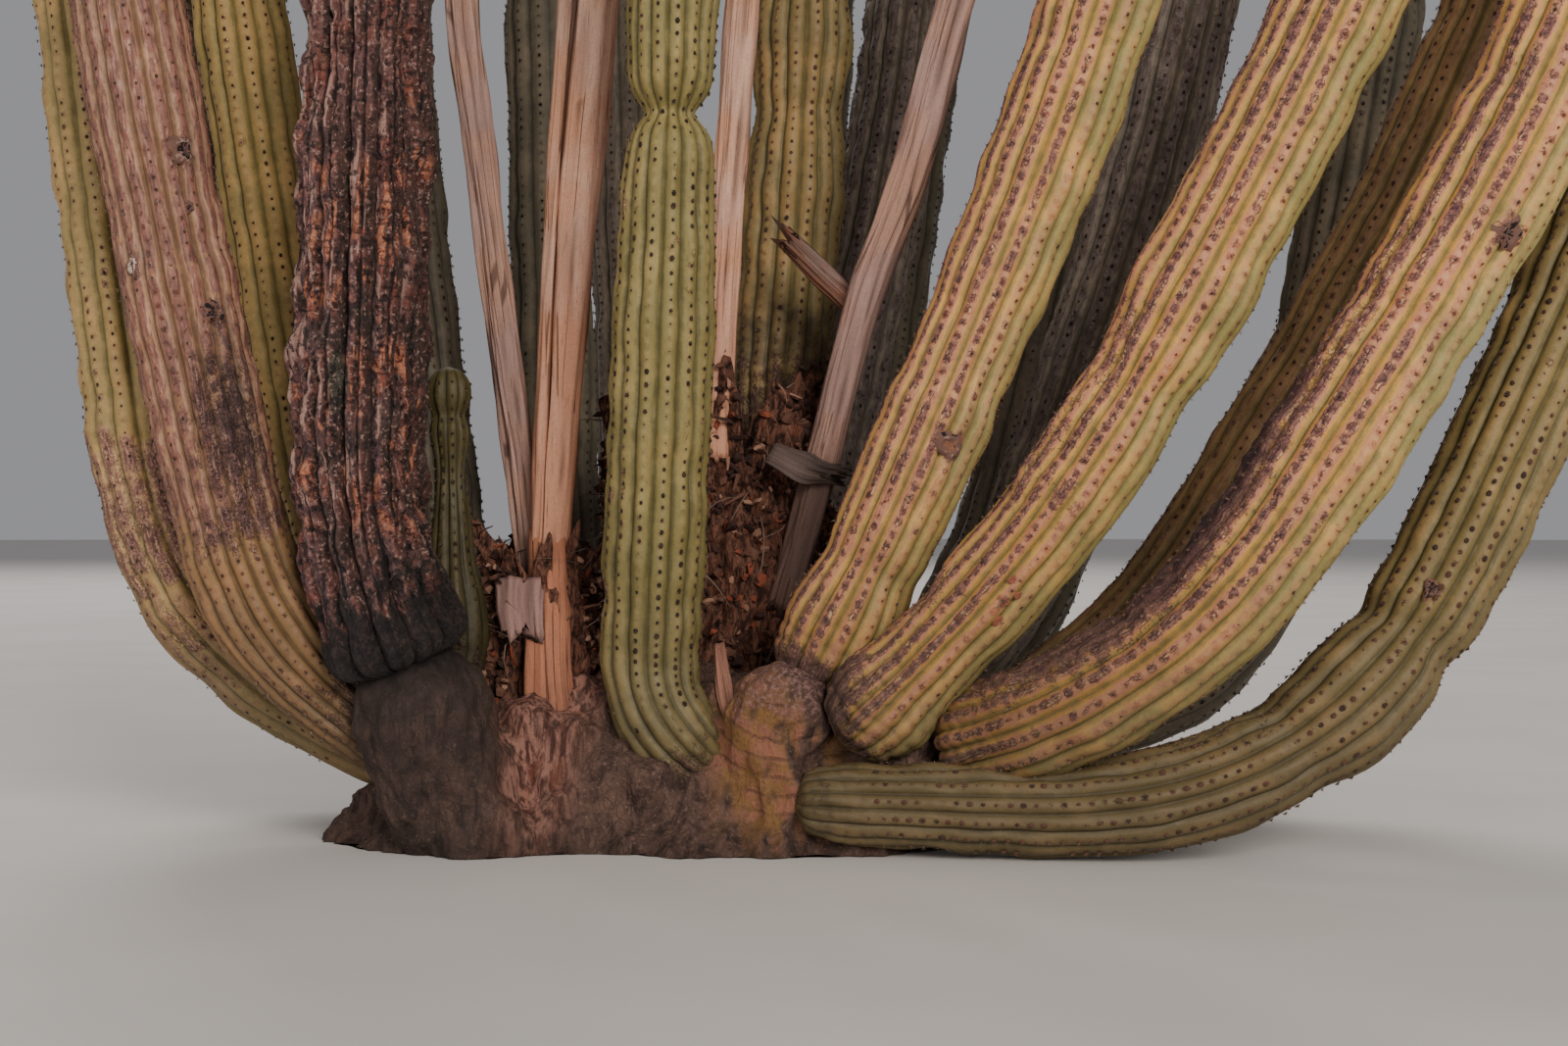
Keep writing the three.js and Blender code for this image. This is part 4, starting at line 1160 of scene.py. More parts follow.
def dress_skin(arm, look, cloud, knots):
    """One limb's skin: its ribs, the marks of its look, the relief, the knots and the areoles."""
    seed = seed_of(arm.name)
    barked = look["skin"] == "charred_bark"
    sweep(arm, look.get("waists", ()))
    lay_ribs(arm, REAR_ACROSS if arm.rear else BARK_ACROSS if barked else ACROSS)
    from_foot = arm.along[arm.rings][:, None]
    marks = lay_marks(arm, look, from_foot)

    spread = np.stack(np.broadcast_arrays(arm.turns * 0.035, from_foot * 0.3, 0.0), axis=-1)
    relief = 0.0012 * ripple(arm.points, 0.05, seed + 2) + 0.0009 * ripple(spread, 0.012, seed + 3)
    relief = relief + 0.0016 * np.clip(marks["cork"], 0, 1) * ripple(arm.points, 0.014, seed + 4)
    if barked:
        relief = bark_relief(arm, relief, spread, seed)
    for height, heading, size, kind in look.get("knots", ()):
        weight = spot_weight(arm, height, heading, 0, size * 1.8, size * 1.8)
        relief = relief - 0.25 * size * weight
        marks["cork"] += 0.9 * weight
        at, out = spot_on(arm, height, heading)
        knots.append((arm.line[at] + out * arm.girths[at] * 0.485, out, arm.ways[at], size, kind))
    if "folds" in look:
        phase = from_foot / FOLD_STEP + 0.30 * ripple(arm.points, 0.07, seed + 9)
        crease = (0.5 + 0.5 * np.cos(2 * math.pi * phase)) ** 5 * ease(1.15 - from_foot / 0.16)
        relief = relief - 0.0026 * look["folds"] * crease
        # Painted shade in the creases of the folds
        marks["dark"] += 0.45 * look["folds"] * crease
    fade = np.clip((arm.along[-1] - from_foot) / 0.05, 0, 1)
    arm.points = arm.points + arm.radial * (relief * fade)[..., None]
    arm.points[..., 2] = np.maximum(arm.points[..., 2], 0.0)

    phases = np.random.default_rng(seed + 9).uniform(0, 1, arm.ribs + 1)
    make_skin(arm, look, marks, phases)
    if not barked:
        plant_areoles(arm, look, phases, cloud)


def make_skin(arm, look, marks, phases):
    """The skin's mesh, with a map of ribs and areole steps and a map to bake on."""
    count, rows = len(arm.turns), len(arm.rings)
    total = rows * count
    quads, ring, place = ring_faces(rows, count)
    foot_centre = arm.line[0] - arm.ways[0] * 0.12 * arm.girth
    body = np.vstack([arm.points.reshape(-1, 3), [foot_centre, arm.line[-1]]])
    foot = cap_faces(0, count, total, False)
    tip = cap_faces(total - count, count, total + 1, True)

    phase = phases[arm.own_rib]
    next_turn = np.append(arm.turns[1:], arm.turns[0] + arm.ribs)
    sides = arm.turns[place], next_turn[place]
    steps = [arm.along[arm.rings[row]] / AREOLE_STEP + phase[place] for row in (ring, ring + 1)]
    ends = cap_spots(arm, next_turn, phase)
    ribs_map = np.concatenate([quad_map(*sides, *steps), ends])
    bake_map = np.concatenate([folded_map(arm, ring, sides), BAKE_CORNER + 0.0001 * (ends % 1)])

    values = {kind: np.append(np.clip(amount, 0, 1.5).ravel(), (0, 0)) for kind, amount in marks.items()}
    # The tone: partly the limb's own colour, partly painted light and shade
    values["tone"] = np.full(total + 2, look.get("tone", 1.0))
    values["seed"] = np.full(total + 2, float(seed_of(arm.name) % 97))
    piece = make_piece("skin_" + arm.name, body, [quads, foot, tip], look["skin"], MATERIALS[look["skin"]],
                       uvs={"ribs": ribs_map, "OFBake": bake_map}, values=values)
    nodes = [arm.name] if arm.whole else [arm.name + "_foot", arm.name + "_shaft"]
    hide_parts(*nodes)


def cap_spots(arm, next_turn, phase):
    """Rib map corners of the two end caps, in the order of their triangles."""
    spots = []
    for end, order in ((arm.along[0], (1, 0, 2)), (arm.along[-1], (0, 1, 2))):
        corners = [np.stack([u, end / AREOLE_STEP + phase], axis=1)
                   for u in (arm.turns, next_turn, (arm.turns + next_turn) / 2)]
        spots.append(np.stack([corners[which] for which in order], axis=1).reshape(-1, 2))
    return np.concatenate(spots)


def folded_map(arm, ring, sides):
    """The skin laid out in two columns, with more room for its lower part."""
    dense = np.where(arm.along < DENSE_LENGTH, 1.0, FAR_DENSITY)
    reached = np.concatenate([[0.0], np.cumsum(dense[:-1] * WALK)])
    half = reached[-1] / 2
    ends = reached[arm.rings[ring]], reached[arm.rings[ring + 1]]
    column = (ends[0] >= half).astype(float)
    x = [0.01 + 0.5 * column + 0.475 * (turn + 0.5) / arm.ribs for turn in sides]
    y = [0.012 + 0.97 * np.clip((end - column * half) / (half + 4 * WALK), 0, 1) for end in ends]
    return quad_map(*x, *y)


# Knots where something has bored in or broken off: a rim of dead skin round a hollow

def make_knots(knots):
    """All knots as one piece."""
    rng = np.random.default_rng(12)
    quads, ring, _ = ring_faces(len(KNOT_PROFILE), KNOT_SIDES)
    turns = turns_of(KNOT_SIDES)
    rim = np.stack([np.cos(turns), np.sin(turns)], axis=1)
    points, faces, shades = [], [], []
    for at, out, way, size, kind in knots:
        right = np.cross(way, out)
        wide, narrow = ripple(rim, 1.3, int(rng.integers(99))), ripple(rim, 0.5, int(rng.integers(99)))
        uneven = 1 + 0.20 * wide + 0.10 * narrow
        for reach, rise in KNOT_PROFILE:
            far = size * reach * uneven * (1 + rng.normal(0, 0.06, KNOT_SIDES))
            lift = size * (rise + rng.normal(0, 0.10, KNOT_SIDES) * (reach > 0.5))
            points.append(at + right * (far * rim[:, 0])[:, None] + way * (1.2 * far * rim[:, 1])[:, None]
                          + out * lift[:, None])
        faces.append(quads + len(faces) * KNOT_SIDES * len(KNOT_PROFILE))
        shades.append(np.array(KNOT_SHADES[kind])[ring, rng.integers(0, 3, len(ring))])
    make_piece("knots", np.concatenate(points), [np.concatenate(faces)], "scarred_skin",
               plain_materials("knot", KNOT_TONES, 0.85), shades=np.concatenate(shades))


# Areoles and spines, gathered for all limbs and then joined

def plant_areoles(arm, look, phases, cloud):
    """Rows of areoles along the crests of a limb."""
    rng = np.random.default_rng(seed_of(arm.name) + 20)
    for rib in range(arm.ribs):
        stations = AREOLE_STEP * (np.arange(1, int(arm.along[-1] / AREOLE_STEP)) - phases[rib])
        stations = stations[(stations > BARE_FOOT) & (stations < arm.along[-1] - BARE_TIP)]
        stations = stations + rng.normal(0, 0.0010, len(stations))
        angle = 2 * math.pi * rib / arm.ribs
        middle, way, side, up = (sample(arm.along, each, stations)
                                 for each in (arm.line, arm.ways, arm.sides, arm.ups))
        out = side * math.cos(angle) + up * math.sin(angle)
        across = np.interp(stations, arm.along, arm.girths) / 2
        clear = middle[:, 2] + (out * across[:, None])[:, 2] > ABOVE_GROUND
        way, out, middle, across = (each[clear] for each in (way, out, middle, across))
        slope = np.gradient(across) / AREOLE_STEP if len(across) > 1 else np.zeros(len(across))
        cloud.append(SimpleNamespace(
            at=middle + out * (across + 0.0004)[:, None], way=way,
            normal=unit(out - way * np.clip(slope, -2, 2)[:, None]),
            fine=(middle[:, 2] < NEAR_HEIGHT) & (not arm.rear), rear=arm.rear,
            skin=look["skin"], dots=look.get("dots", 1.0)))


def sample(along, vectors, stations):
    return np.stack([np.interp(stations, along, vectors[:, axis]) for axis in range(3)], axis=1)


def stamp(template, faces, at, right, way, normal, scale):
    """Copies of a small shape, each in its own frame and size."""
    shape = template[None] * scale[:, None, None]
    points = (at[:, None] + shape[..., :1] * right[:, None] + shape[..., 1:2] * way[:, None]
              + shape[..., 2:] * normal[:, None])
    copies = faces[None] + (np.arange(len(at)) * len(template))[:, None, None]
    return points.reshape(-1, 3), copies.reshape(-1, faces.shape[1])


def make_joined(name, slot, materials, batches):
    """Pieces of many small copies, none with too many triangles."""
    made, kept, total = 0, [], 0
    for batch in batches:
        if total and total + len(batch[1]) > MOST_TRIANGLES:
            made += 1
            put_joined(f"{name}_{made}", slot, materials, kept)
            kept, total = [], 0
        kept.append(batch)
        total += len(batch[1])
    put_joined(f"{name}_{made + 1}", slot, materials, kept)


def put_joined(name, slot, materials, batches):
    points, faces, shades = zip(*batches)
    starts = np.cumsum([0] + [len(block) for block in points[:-1]])
    joined = np.concatenate([block + start for block, start in zip(faces, starts)])
    make_piece(name, np.concatenate(points), [joined], slot, materials, smooth=False,
               shades=np.concatenate(shades))


def disc_template(sides):
    turns, place = turns_of(sides), np.arange(sides)
    rim = np.stack([np.cos(turns), 1.25 * np.sin(turns), np.full(sides, -0.25)], axis=1)
    points = np.vstack([rim, [0.0, 0.15, 0.55]])
    return points, np.stack([place, (place + 1) % sides, np.full(sides, sides)], axis=1)


def areole_batches(cloud):
    rng = np.random.default_rng(5)
    for patch in cloud:
        sides = 6 if patch.fine.any() else 4
        template, faces = disc_template(sides)
        count = len(patch.at)
        width, tones = AREOLE_LOOKS[patch.skin]
        size = width * patch.dots * rng.uniform(0.7, 1.25, count)
        points, copies = stamp(template, faces, patch.at, np.cross(patch.way, patch.normal), patch.way,
                               patch.normal, size)
        yield points, copies, np.repeat(rng.choice(tones, count), sides)


def spine_batches(cloud):
    """Short stiff spines that spread from each areole, fewer where they are far off."""
    rng = np.random.default_rng(6)
    template = np.array([(1.0, 0.0, 0.0), (-0.5, 0.87, 0.0), (-0.5, -0.87, 0.0), (0.0, 0.0, SPINE_LENGTH)])
    faces = np.array([(0, 1, 3), (1, 2, 3), (2, 0, 3)])
    for patch in cloud:
        number = np.where(patch.fine, NEAR_SPINES, REAR_SPINES if patch.rear else FAR_SPINES)
        owner = np.repeat(np.arange(len(patch.at)), number)
        count = len(owner)
        way, normal = patch.way[owner], patch.normal[owner]
        right = np.cross(way, normal)
        turn = rng.uniform(0, 2 * math.pi, count)[:, None]
        lean = rng.uniform(*SPINE_LEAN, count)[:, None]
        aim = normal * np.cos(lean) + (right * np.cos(turn) + way * np.sin(turn)) * np.sin(lean)
        first = unit(np.cross(aim, way + 0.01 * normal))
        size = rng.uniform(*SPINE_RADIUS, count)
        points, copies = stamp(template, faces, patch.at[owner], first, np.cross(aim, first), aim, size)
        tone = np.where(rng.uniform(size=count) < GREY_SPINES, 0, rng.integers(1, 3, count))
        yield points, copies, np.repeat(tone, 3)


# Curves through a few points, centripetal as in the source

def smooth_curve(given, count):
    """Points at even distances along the curve, and its directions there."""
    def between(t, low, high, first, second):
        return (high - t) / (high - low) * first + (t - low) / (high - low) * second

    given = np.array(given)
    line = np.vstack([2 * given[0] - given[1], given, 2 * given[-1] - given[-2]])
    dense = [given[:1]]
    for place in range(len(given) - 1):
        p0, p1, p2, p3 = line[place:place + 4]
        t1 = np.linalg.norm(p1 - p0) ** 0.5
        t2 = t1 + np.linalg.norm(p2 - p1) ** 0.5
        t3 = t2 + np.linalg.norm(p3 - p2) ** 0.5
        t = np.linspace(t1, t2, 61)[1:, None]
        a = between(t, t1, t2, p1, p2)
        b = between(t, 0, t2, between(t, 0, t1, p0, p1), a)
        c = between(t, t1, t3, a, between(t, t2, t3, p2, p3))
        dense.append(between(t, t1, t2, b, c))
    dense = np.concatenate(dense)
    walked = np.concatenate([[0.0], np.cumsum(np.linalg.norm(np.diff(dense, axis=0), axis=1))])
    even = np.linspace(0, walked[-1], count)
    points = sample(walked, dense, even)
    return points, unit(np.gradient(points, axis=0)), even


def closed_rings(rings):
    """Rings of points, closed at both ends: all points, blocks of faces, and rows and places of the quads."""
    rows, count = rings.shape[:2]
    quads, row, place = ring_faces(rows, count)
    total = rows * count
    points = np.vstack([rings.reshape(-1, 3), [rings[0].mean(axis=0), rings[-1].mean(axis=0)]])
    caps = [cap_faces(0, count, total, False), cap_faces(total - count, count, total + 1, True)]
    return points, [quads, *caps], row, place


# Bare woody ribs, flaps and strips

def make_slat(name, slot, material, widths, depth, groove, given, slant=0.5):
    """A long piece of wood with its grain, darker at its foot, with painted shade in its groove and along its
    crack.
    """
    seed = seed_of(name)
    rows = max(int(np.linalg.norm(np.subtract(given[-1], given[0])) / SLAT_ROW), 14)
    points, ways, walked = smooth_curve(given, rows)
    sides = unit(np.array((1.0, 0.0, 0.0)) - ways * ways[:, :1])
    ups = np.cross(ways, sides)
    share = walked / walked[-1]
    foot, full, tip = widths
    width = mix(mix(foot, full, ease(2 * share)), tip, ease(2 * share - 1))
    thick = (depth / 2 * (0.4 + 0.6 * width / full))[:, None]
    outline = dense_outline()
    across, behind = outline[:, 0], outline[:, 1] < 0
    count = len(outline)
    around = np.arange(count) / count * SLAT_GIRTH
    spread = np.stack(np.broadcast_arrays(around, walked[:, None] * 0.06, 0.0), axis=-1)
    grain = 0.0011 * ripple(spread, 0.006, seed) + 0.0016 * ripple(spread, 0.022, seed + 1)
    sunk = bell((across + 0.38) / 0.055) * behind
    wander = 0.12 * ripple(walked[:, None], 0.4, seed + 2)[:, None]
    crack = bell((across - 0.25 - wander) / 0.05) * behind
    x = across * width[:, None] / 2
    y = outline[:, 1] * thick + thick * groove * 2.6 * sunk + 0.005 * crack
    torn = torn_ends(outline, share, slant * tip, seed, min(0.030, 0.008 + 0.07 * walked[-1]))
    rings = (points[:, None] + sides[:, None] * (x + grain * np.sign(x))[..., None]
             + ups[:, None] * (y + grain * np.sign(y))[..., None])
    body, blocks, ring, place = closed_rings(rings + ways[:, None] * torn[..., None])

    start = around[place]
    grain_map = quad_map(start, start + SLAT_GIRTH / count, walked[ring], walked[ring + 1])
    grain_map = np.concatenate([grain_map, np.zeros((6 * count, 2))])
    # Painted shade in the sunken groove and along the crack, and below a height a darker foot
    dark = 0.9 * np.maximum(sunk * (groove > 0), 0.8 * crack) * np.ones((rows, 1))
    height, fade, strength = DARK_FEET.get(name, (0.0, 0.02, 0.0))
    dark = np.maximum(dark, strength * ease((height - points[:, 2:]) / fade))
    values = {"dark": np.append(dark.ravel(), (0.5, 0.5)), "seed": np.full(len(body), float(seed % 31))}
    return make_piece("wood_" + name, body, blocks, slot, material, uvs={"grain": grain_map}, values=values)


def dense_outline():
    """The outline of a piece of wood, with points between its corners."""
    corners = np.array(SLAT, dtype=float)
    following = np.roll(corners, -1, axis=0)
    shares = np.arange(DENSE_PARTS)[:, None, None] / DENSE_PARTS
    spots = corners + (following - corners) * shares
    return spots.transpose(1, 0, 2).reshape(-1, 2)


def torn_ends(outline, share, slant, seed, longest):
    """How far each line of grain runs past the last ring, in splinters."""
    teeth = longest * ripple(outline, 0.35, seed + 7)
    return ease((share[:, None] - 0.94) / 0.06) * (slant * outline[:, 0] + teeth)


# The root mound: body and lobes in one, remeshed and given bark relief

def stacked_rings(centre, rows, sides, lobes, lift=None):
    """Level rings of a lobed form, each from its height and its two reaches."""
    turns = turns_of(sides)
    reach = 1 + sum(depth * np.cos(number * (turns - math.radians(turn))) for number, depth, turn in lobes)
    rings = []
    for place, (height, reach_x, reach_y) in enumerate(rows):
        x = centre[0] + reach_x * reach * np.cos(turns)
        y = centre[1] + reach_y * reach * np.sin(turns)
        z = np.full(sides, height) + (0 if lift is None or place == 0 else lift(turns, height))
        rings.append(np.stack([x, y, z], axis=1))
    return np.array(rings)


def lobe_rings(lobe, rows=24, per_rib=8):
    """Rings of one lobe of the mound, ribbed where it has ribs and domed at its end."""
    points, ways, _ = smooth_curve(lobe["points"], rows + 1)
    share = np.arange(rows) / rows
    left = np.clip((1 - share) / lobe["dome"], 0, 1)
    girth = mix(*lobe["girth"], share) * np.sqrt(1 - (1 - left) ** 2)
    sides = unit(np.cross((0.0, 1.0, 0.0), ways[:rows]))
    ups = np.cross(ways[:rows], sides)
    turns = np.arange(lobe["ribs"] * per_rib) / per_rib
    angles = 2 * math.pi * turns / lobe["ribs"]
    edge = 2 * np.abs((turns + 0.5) % 1 - 0.5)
    radius = girth[:, None] / 2 * (1 - lobe["depth"] * edge ** 1.6)
    return (points[:rows, None] + sides[:, None] * (radius * np.cos(angles))[..., None]
            + ups[:, None] * (radius * np.sin(angles))[..., None])


def read_out(items, field, width, kind=np.float32):
    """One field of a mesh's vertices or loops as an array."""
    flat = np.empty(len(items) * width, dtype=kind)
    items.foreach_get(field, flat)
    return flat.reshape(-1, width).astype(float) if kind is np.float32 else flat


def remeshed(forms, voxel):
    """The union of closed forms as one even mesh: its points, faces and normals."""
    mesh = bpy.data.meshes.new("forms")
    points, faces = [], []
    for form_points, blocks, *_ in forms:
        for block in blocks:
            faces.extend((block + len(points)).tolist())
        points.extend(form_points.tolist())
    mesh.from_pydata(points, [], faces)
    holder = link_object("forms", mesh)
    remesh = holder.modifiers.new("even", "REMESH")
    remesh.mode = "VOXEL"
    remesh.voxel_size = voxel
    evaluated = holder.evaluated_get(bpy.context.evaluated_depsgraph_get())
    even = evaluated.to_mesh()
    spots, normals = read_out(even.vertices, "co", 3), read_out(even.vertices, "normal", 3)
    corners = read_out(even.loops, "vertex_index", 1, np.int32)
    evaluated.to_mesh_clear()
    bpy.data.objects.remove(holder)
    bpy.data.meshes.remove(mesh)
    return spots, corners.reshape(-1, 4), normals


def near_curve(points, given, reach):
    """1 on a curve through the given points, falling to 0 at this distance from it."""
    line, _, _ = smooth_curve(given, 40)
    nearest = np.full(len(points), 9.0)
    for spot in line:
        nearest = np.minimum(nearest, np.linalg.norm(points - spot, axis=1))
    return ease(1.6 * (1 - nearest / reach))


def make_mound():
    rows = [(up * MOUND_HEIGHT, MOUND_REACH[0] * out, MOUND_REACH[1] * out) for up, out in MOUND_SHAPE]
    body = stacked_rings(MOUND_CENTRE, rows, 96, MOUND_LOBES)
    forms = [closed_rings(body)] + [closed_rings(lobe_rings(lobe)) for lobe in LOBES.values()]
    points, faces, normals = remeshed(forms, MOUND_VOXEL)
    woody = near_curve(points, LOBES["stump"]["points"], WOODY_REACH)
    knee = near_curve(points, LOBES["knee"]["points"], KNEE_REACH)
    rot = near_curve(points, ROTTEN_CORNER, ROT_REACH)
    rough = 1 - np.maximum(0.8 * woody, 0.6 * knee)
    relief = 0.0075 * ripple(points, 0.060, 31) + 0.0035 * ripple(points, 0.022, 32)
    relief = relief - 0.004 * np.abs(ripple(points * (1, 1, 0.35), 0.018, 33))
    around = np.arctan2(points[:, 1] - MOUND_CENTRE[1], points[:, 0] - MOUND_CENTRE[0])
    flare = ease(1 - points[:, 2] / FLARE_HEIGHT) * np.cos(FLUTES * around + 3 * ripple(points, 0.2, 34))
    points = points + normals * (relief * rough + 0.006 * flare * (1 - woody))[:, None]
    hollow = bell(np.linalg.norm(points - HOLLOW_PLACE, axis=1) / HOLLOW_REACH)
    points[:, 1] += HOLLOW_DEPTH * hollow
    points[:, 2] = np.maximum(points[:, 2], 0.0)
    piece = make_piece("bark_root_mound", points, [faces], "woody_bark", MATERIALS["woody_bark"],
                       values={"woody": woody, "knee": knee, "rot": rot})
    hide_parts("root_mound")


# Rotten stumps: a ragged core, and the strips, crumbs and strings that come off it

def make_stump(name, row, litter):
    centre, foot, top, base, height, ragged, teeth = row
    seed = seed_of(name)
    rows = [(mix(base, height, share), mix(foot[0], top[0], ease(share)), mix(foot[1], top[1], ease(share)))
            for share in np.linspace(0, 1, 40)]
    for drop, reach in RIM_STEPS:
        rows.append((height - ragged * drop, top[0] * reach, top[1] * reach))

    def lift(turns, level):
        tall = 0.35 + 0.65 * np.abs(ripple(np.stack([np.cos(turns), np.sin(turns)], axis=1), 0.25, seed))
        return ragged * 0.8 * tall * np.cos(turns * teeth) * ease((level - height + 0.15) / 0.15)

    points, blocks, *_ = closed_rings(stacked_rings(centre, rows, 20 * teeth, STUMP_LOBES, lift))
    out = unit((points - (*centre, 0.0)) * (1, 1, 0.1))
    relief = 0.011 * ripple(points, 0.05, seed + 1) + 0.006 * ripple(points * (1, 1, 0.4), 0.016, seed + 2)
    relief = relief - 0.008 * np.abs(ripple(points * (1, 1, 0.3), 0.012, seed + 3))
    points = points + out * relief[:, None]
    piece = make_piece("rot_" + name, points, blocks, "rotten_wood", MATERIALS["rotten_wood"])
    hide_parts(name)
    skin = points[:-2]
    picks = np.random.default_rng(seed).integers(0, len(skin), int(2600 * foot[0] / 0.2))
    picks = picks[np.abs(skin[picks, 0] + 0.235) + 3 * (skin[picks, 1] > 0.06) > 0.045]
    litter.append((skin[picks], out[picks]))


def strip_shape(at, way, out, length, width, curl, rng):
    """A bent strip of torn wood: three points across at each station along it."""
    share = np.linspace(0, 1, STRIP_STATIONS)[:, None]
    side = unit(np.cross(way, out))
    line = at + way * length * share + out * curl * (share - share ** 2) * 4
    line = line + side * curl * rng.uniform(-1, 1) * share ** 2
    half = width / 2 * (1 - 0.7 * share)
    return np.stack([line - side * half, line + side * half, line + out * half * 0.5], axis=1).reshape(-1, 3)


def crumb_shape():
    """An icosahedron about as wide as it is tall."""
    golden = (1 + 5 ** 0.5) / 2
    points = np.array([np.roll((0.0, first, second * golden), turn) for turn in range(3)
                       for first in (-1, 1) for second in (-1, 1)]) / 2
    near = np.linalg.norm(points[:, None] - points, axis=2) < 1.1
    faces = [(a, b, c) for a, b, c in combinations(range(12), 3) if near[a, b] and near[b, c] and near[a, c]]
    turned = [(a, c, b) if np.linalg.det(points[[a, b, c]]) < 0 else (a, b, c) for a, b, c in faces]
    return points, np.array(turned)


def crumbs(spots, outs, rng):
    """Lumps of crumbled wood, each of its own size, turn and roughness."""
    template, faces = crumb_shape()
    count = len(spots)
    first = unit(rng.normal(size=(count, 3)))
    second = unit(np.cross(first, rng.normal(size=(count, 3))))
    shape = template + rng.normal(0, 0.2, (count, 12, 3))
    shape = shape * rng.uniform(*CRUMB_STRETCH, (count, 1, 3)) * rng.uniform(*CRUMB_SIZE, (count, 1, 1))
    turned = (shape[..., :1] * first[:, None] + shape[..., 1:2] * second[:, None]
              + shape[..., 2:] * np.cross(first, second)[:, None])
    points = (spots + outs * rng.uniform(*CRUMB_RISE, (count, 1)))[:, None] + turned
    return points.reshape(-1, 3), (faces + 12 * np.arange(count)[:, None, None]).reshape(-1, 3)


def strip_faces():
    corners = np.array([(0, 1, 4, 3), (1, 2, 5, 4), (2, 0, 3, 5)])
    quads = np.concatenate([corners + 3 * row for row in range(STRIP_STATIONS - 1)])
    last = 3 * STRIP_STATIONS - 3
    return np.concatenate([quads[:, [0, 1, 2]], quads[:, [0, 2, 3]], [[0, 2, 1], [last, last + 1, last + 2]]])


def make_litter(litter):
    rng = np.random.default_rng(44)
    triangles = strip_faces()
    points, faces, shades = [], [], []
    for spots, outs in litter:
        for at, out in zip(spots[::2], outs[::2]):
            loose = rng.uniform() < LOOSE_SHARE
            way = unit(rng.normal(size=3) * (0.8, 0.8, 0.9) + (0, 0, 0.3) - 0.3 * out)
            length, width, curl = (rng.uniform(*span) for span in (LOOSE_STRIP if loose else SHORT_STRIP))
            strip = strip_shape(at - out * 0.004, way, out, length, width, curl, rng)
            faces.append(triangles + len(strip) * len(points))
            points.append(strip)
            tone = 4 if loose else rng.choice(4, p=STRIP_SHARES)
            shades.append(np.full(len(triangles), tone))
    materials = plain_materials("rot", LITTER_TONES, 0.85)
    make_piece("rot_fibres", np.concatenate(points), [np.concatenate(faces)], "rotten_wood", materials,
               smooth=False, shades=np.concatenate(shades))
    batches = []
    for spots, outs in litter:
        crumb_points, crumb_faces = crumbs(spots, outs, rng)
        shade = rng.choice(4, len(spots), p=CRUMB_SHARES)
        for patch in RED_PATCHES:
            red = np.linalg.norm((spots - patch) * (1, 0.4, 0.5), axis=1) < RED_REACH
            red = red & (rng.uniform(size=len(spots)) < 0.6)
            shade = np.where(red, rng.integers(2, 4, len(spots)), shade)
        batches.append((crumb_points, crumb_faces, np.repeat(shade, 20)))
    make_joined("rot_crumbs", "rotten_wood", materials, batches)


# Camera, lights and floor

def make_stage():
    lens = bpy.data.cameras.new("camera")
    lens.lens = LENS
    lens.sensor_width = SENSOR
    camera = link_object("camera", lens)
    camera.location = CAMERA_PLACE
    camera.rotation_euler = (math.radians(90), 0, 0)
    bpy.context.scene.camera = camera

    mesh = bpy.data.meshes.new("floor")
    turns = turns_of(FLOOR_SIDES)
    rim = FLOOR_REACH * np.stack([np.cos(turns), np.sin(turns), 0 * turns], axis=1)
    mesh.from_pydata(rim.tolist(), [], [tuple(range(FLOOR_SIDES))])
    g = Graph("floor")
    cloudy = g.noise(g.place(), 1.5, 2.0).ramp(0.3, 0.7)
    darker, lighter = (colour(*tone) for tone in FLOOR_TONES)
    mesh.materials.append(g.finish(g.blend(cloudy, darker, lighter), 0.9))
    floor = link_object("floor", mesh)
    floor.location.z = FLOOR_LEVEL
    floor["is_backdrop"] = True

    for row in LIGHTS:
        add_light(*row)
    world = bpy.data.worlds.new("world")
    world.use_nodes = True
    soft = world.node_tree.nodes["Background"].inputs
    soft["Color"].default_value = SOFT_COLOUR
    soft["Strength"].default_value = SOFT_STRENGTH
    bpy.context.scene.world = world


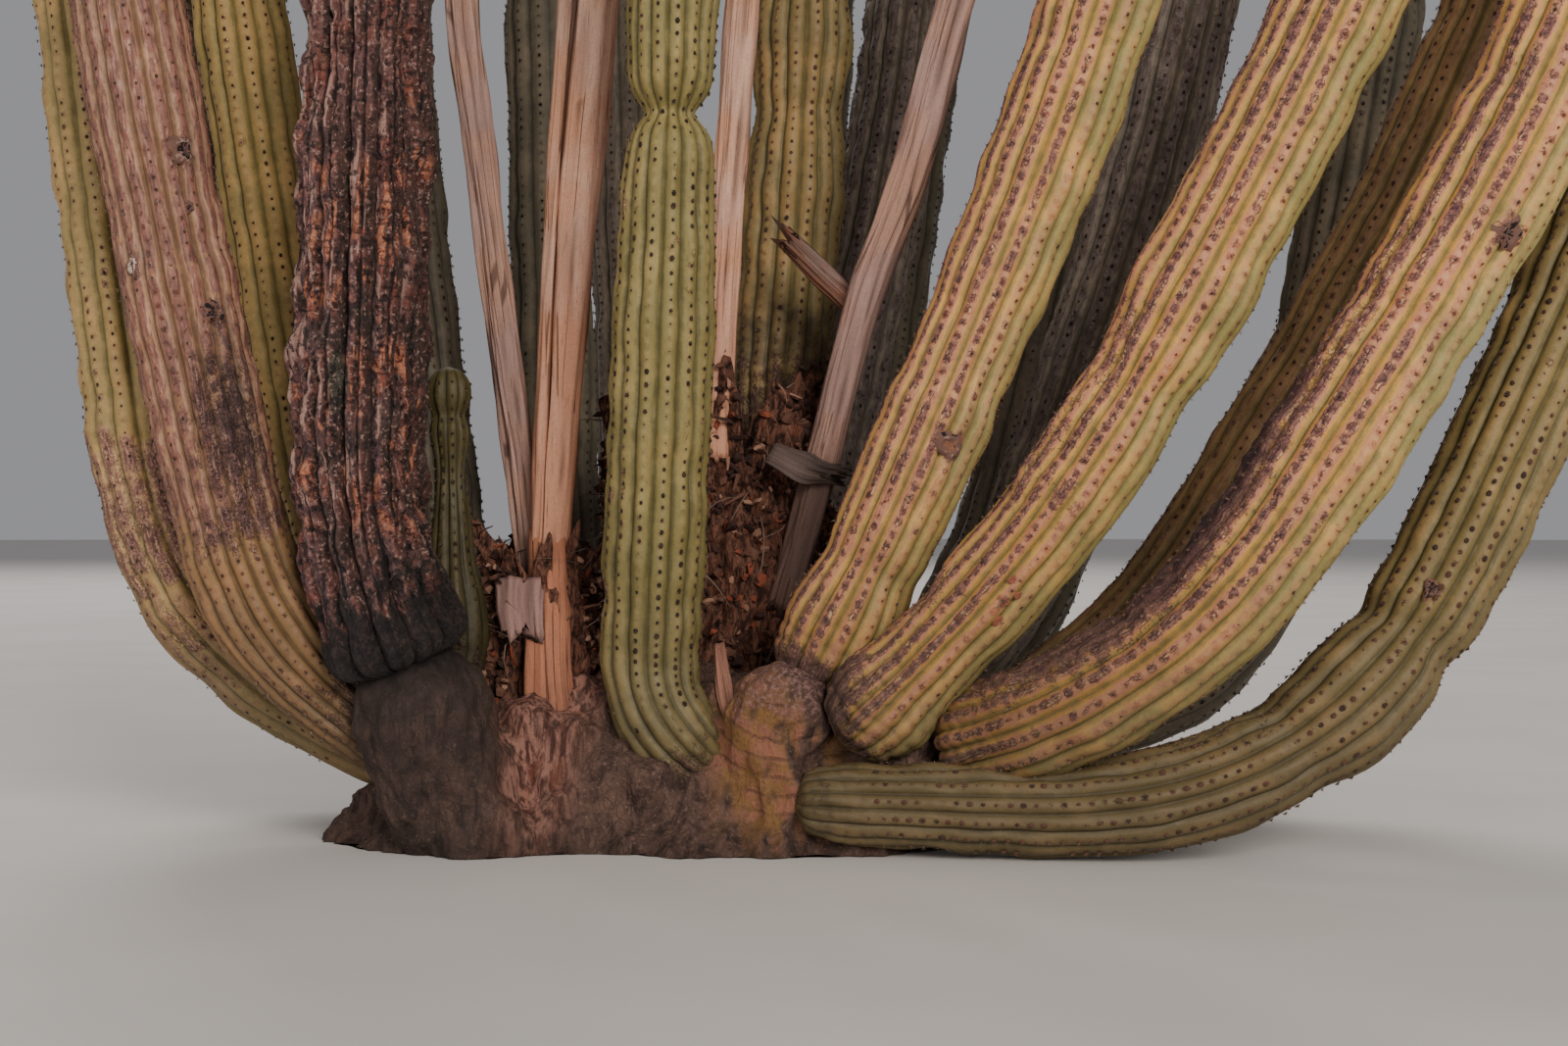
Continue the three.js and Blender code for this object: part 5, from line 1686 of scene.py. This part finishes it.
def add_light(name, place, target, size, power, tint):
    data = bpy.data.lights.new(name, "AREA")
    data.size = size
    data.energy = power
    data.color = tint
    light = link_object(name, data)
    light.location = place
    away = np.array(place) - np.array(target)
    flat = math.hypot(away[0], away[1])
    light.rotation_euler = (math.atan2(flat, away[2]), 0, math.atan2(away[0], -away[1]))


# Everything is made here

def rear_limb(name, heading, rise, bend, height):
    angle = math.radians(heading[0])
    reach = REAR_FOOT_SHARE / math.hypot(math.cos(angle) / MOUND_REACH[0], math.sin(angle) / MOUND_REACH[1])
    foot = (MOUND_CENTRE[0] + reach * math.cos(angle), MOUND_CENTRE[1] + reach * math.sin(angle),
            REAR_FOOT_HEIGHT)
    return Limb(name, foot, heading, rise, bend, height, REAR_GIRTH, REAR_RIBS, (0.74, 0.45), rear=True)


def make_limbs():
    cloud, knots = [], []
    for arm in [*ARMS, PUP]:
        dress_skin(arm, LOOKS[arm.name], cloud, knots)
    for *shape, tone, bleached, aged in REAR_ARMS:
        look = {"skin": "grey_green_skin", "tone": tone, "sun": bleached,
                "bands": (("tint", 0.0, 4.2, aged), ("cork", 0.0, 0.35, 0.35))}
        dress_skin(rear_limb(*shape), look, cloud, knots)
    make_joined("areoles", "grey_green_skin", plain_materials("areole", AREOLE_TONES, 0.9),
                areole_batches(cloud))
    make_joined("spines", "grey_green_skin", plain_materials("spine", SPINE_TONES, 0.5),
                spine_batches(cloud))
    make_knots(knots)


def make_dead_parts():
    for name, slot, *shape in DEAD_RIBS:
        wood = "splinter_wood" if name == "dead_rib_splinter" else slot
        rib = make_slat(name, slot, MATERIALS[wood], *shape)
        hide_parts(name)
    for name, tone, *shape in FLAPS:
        make_slat(name, "rotten_wood", MATERIALS["flap_" + tone], *shape, slant=0.1)
    litter = []
    for name, row in STUMPS.items():
        make_stump(name, row, litter)
    make_litter(litter)


make_stage()
make_limbs()
make_mound()
make_dead_parts()

boxes = {"cad": CAD_BOX, "visual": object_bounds()}
{key: [list(map(float, corner)) for corner in box] for key, box in boxes.items()}
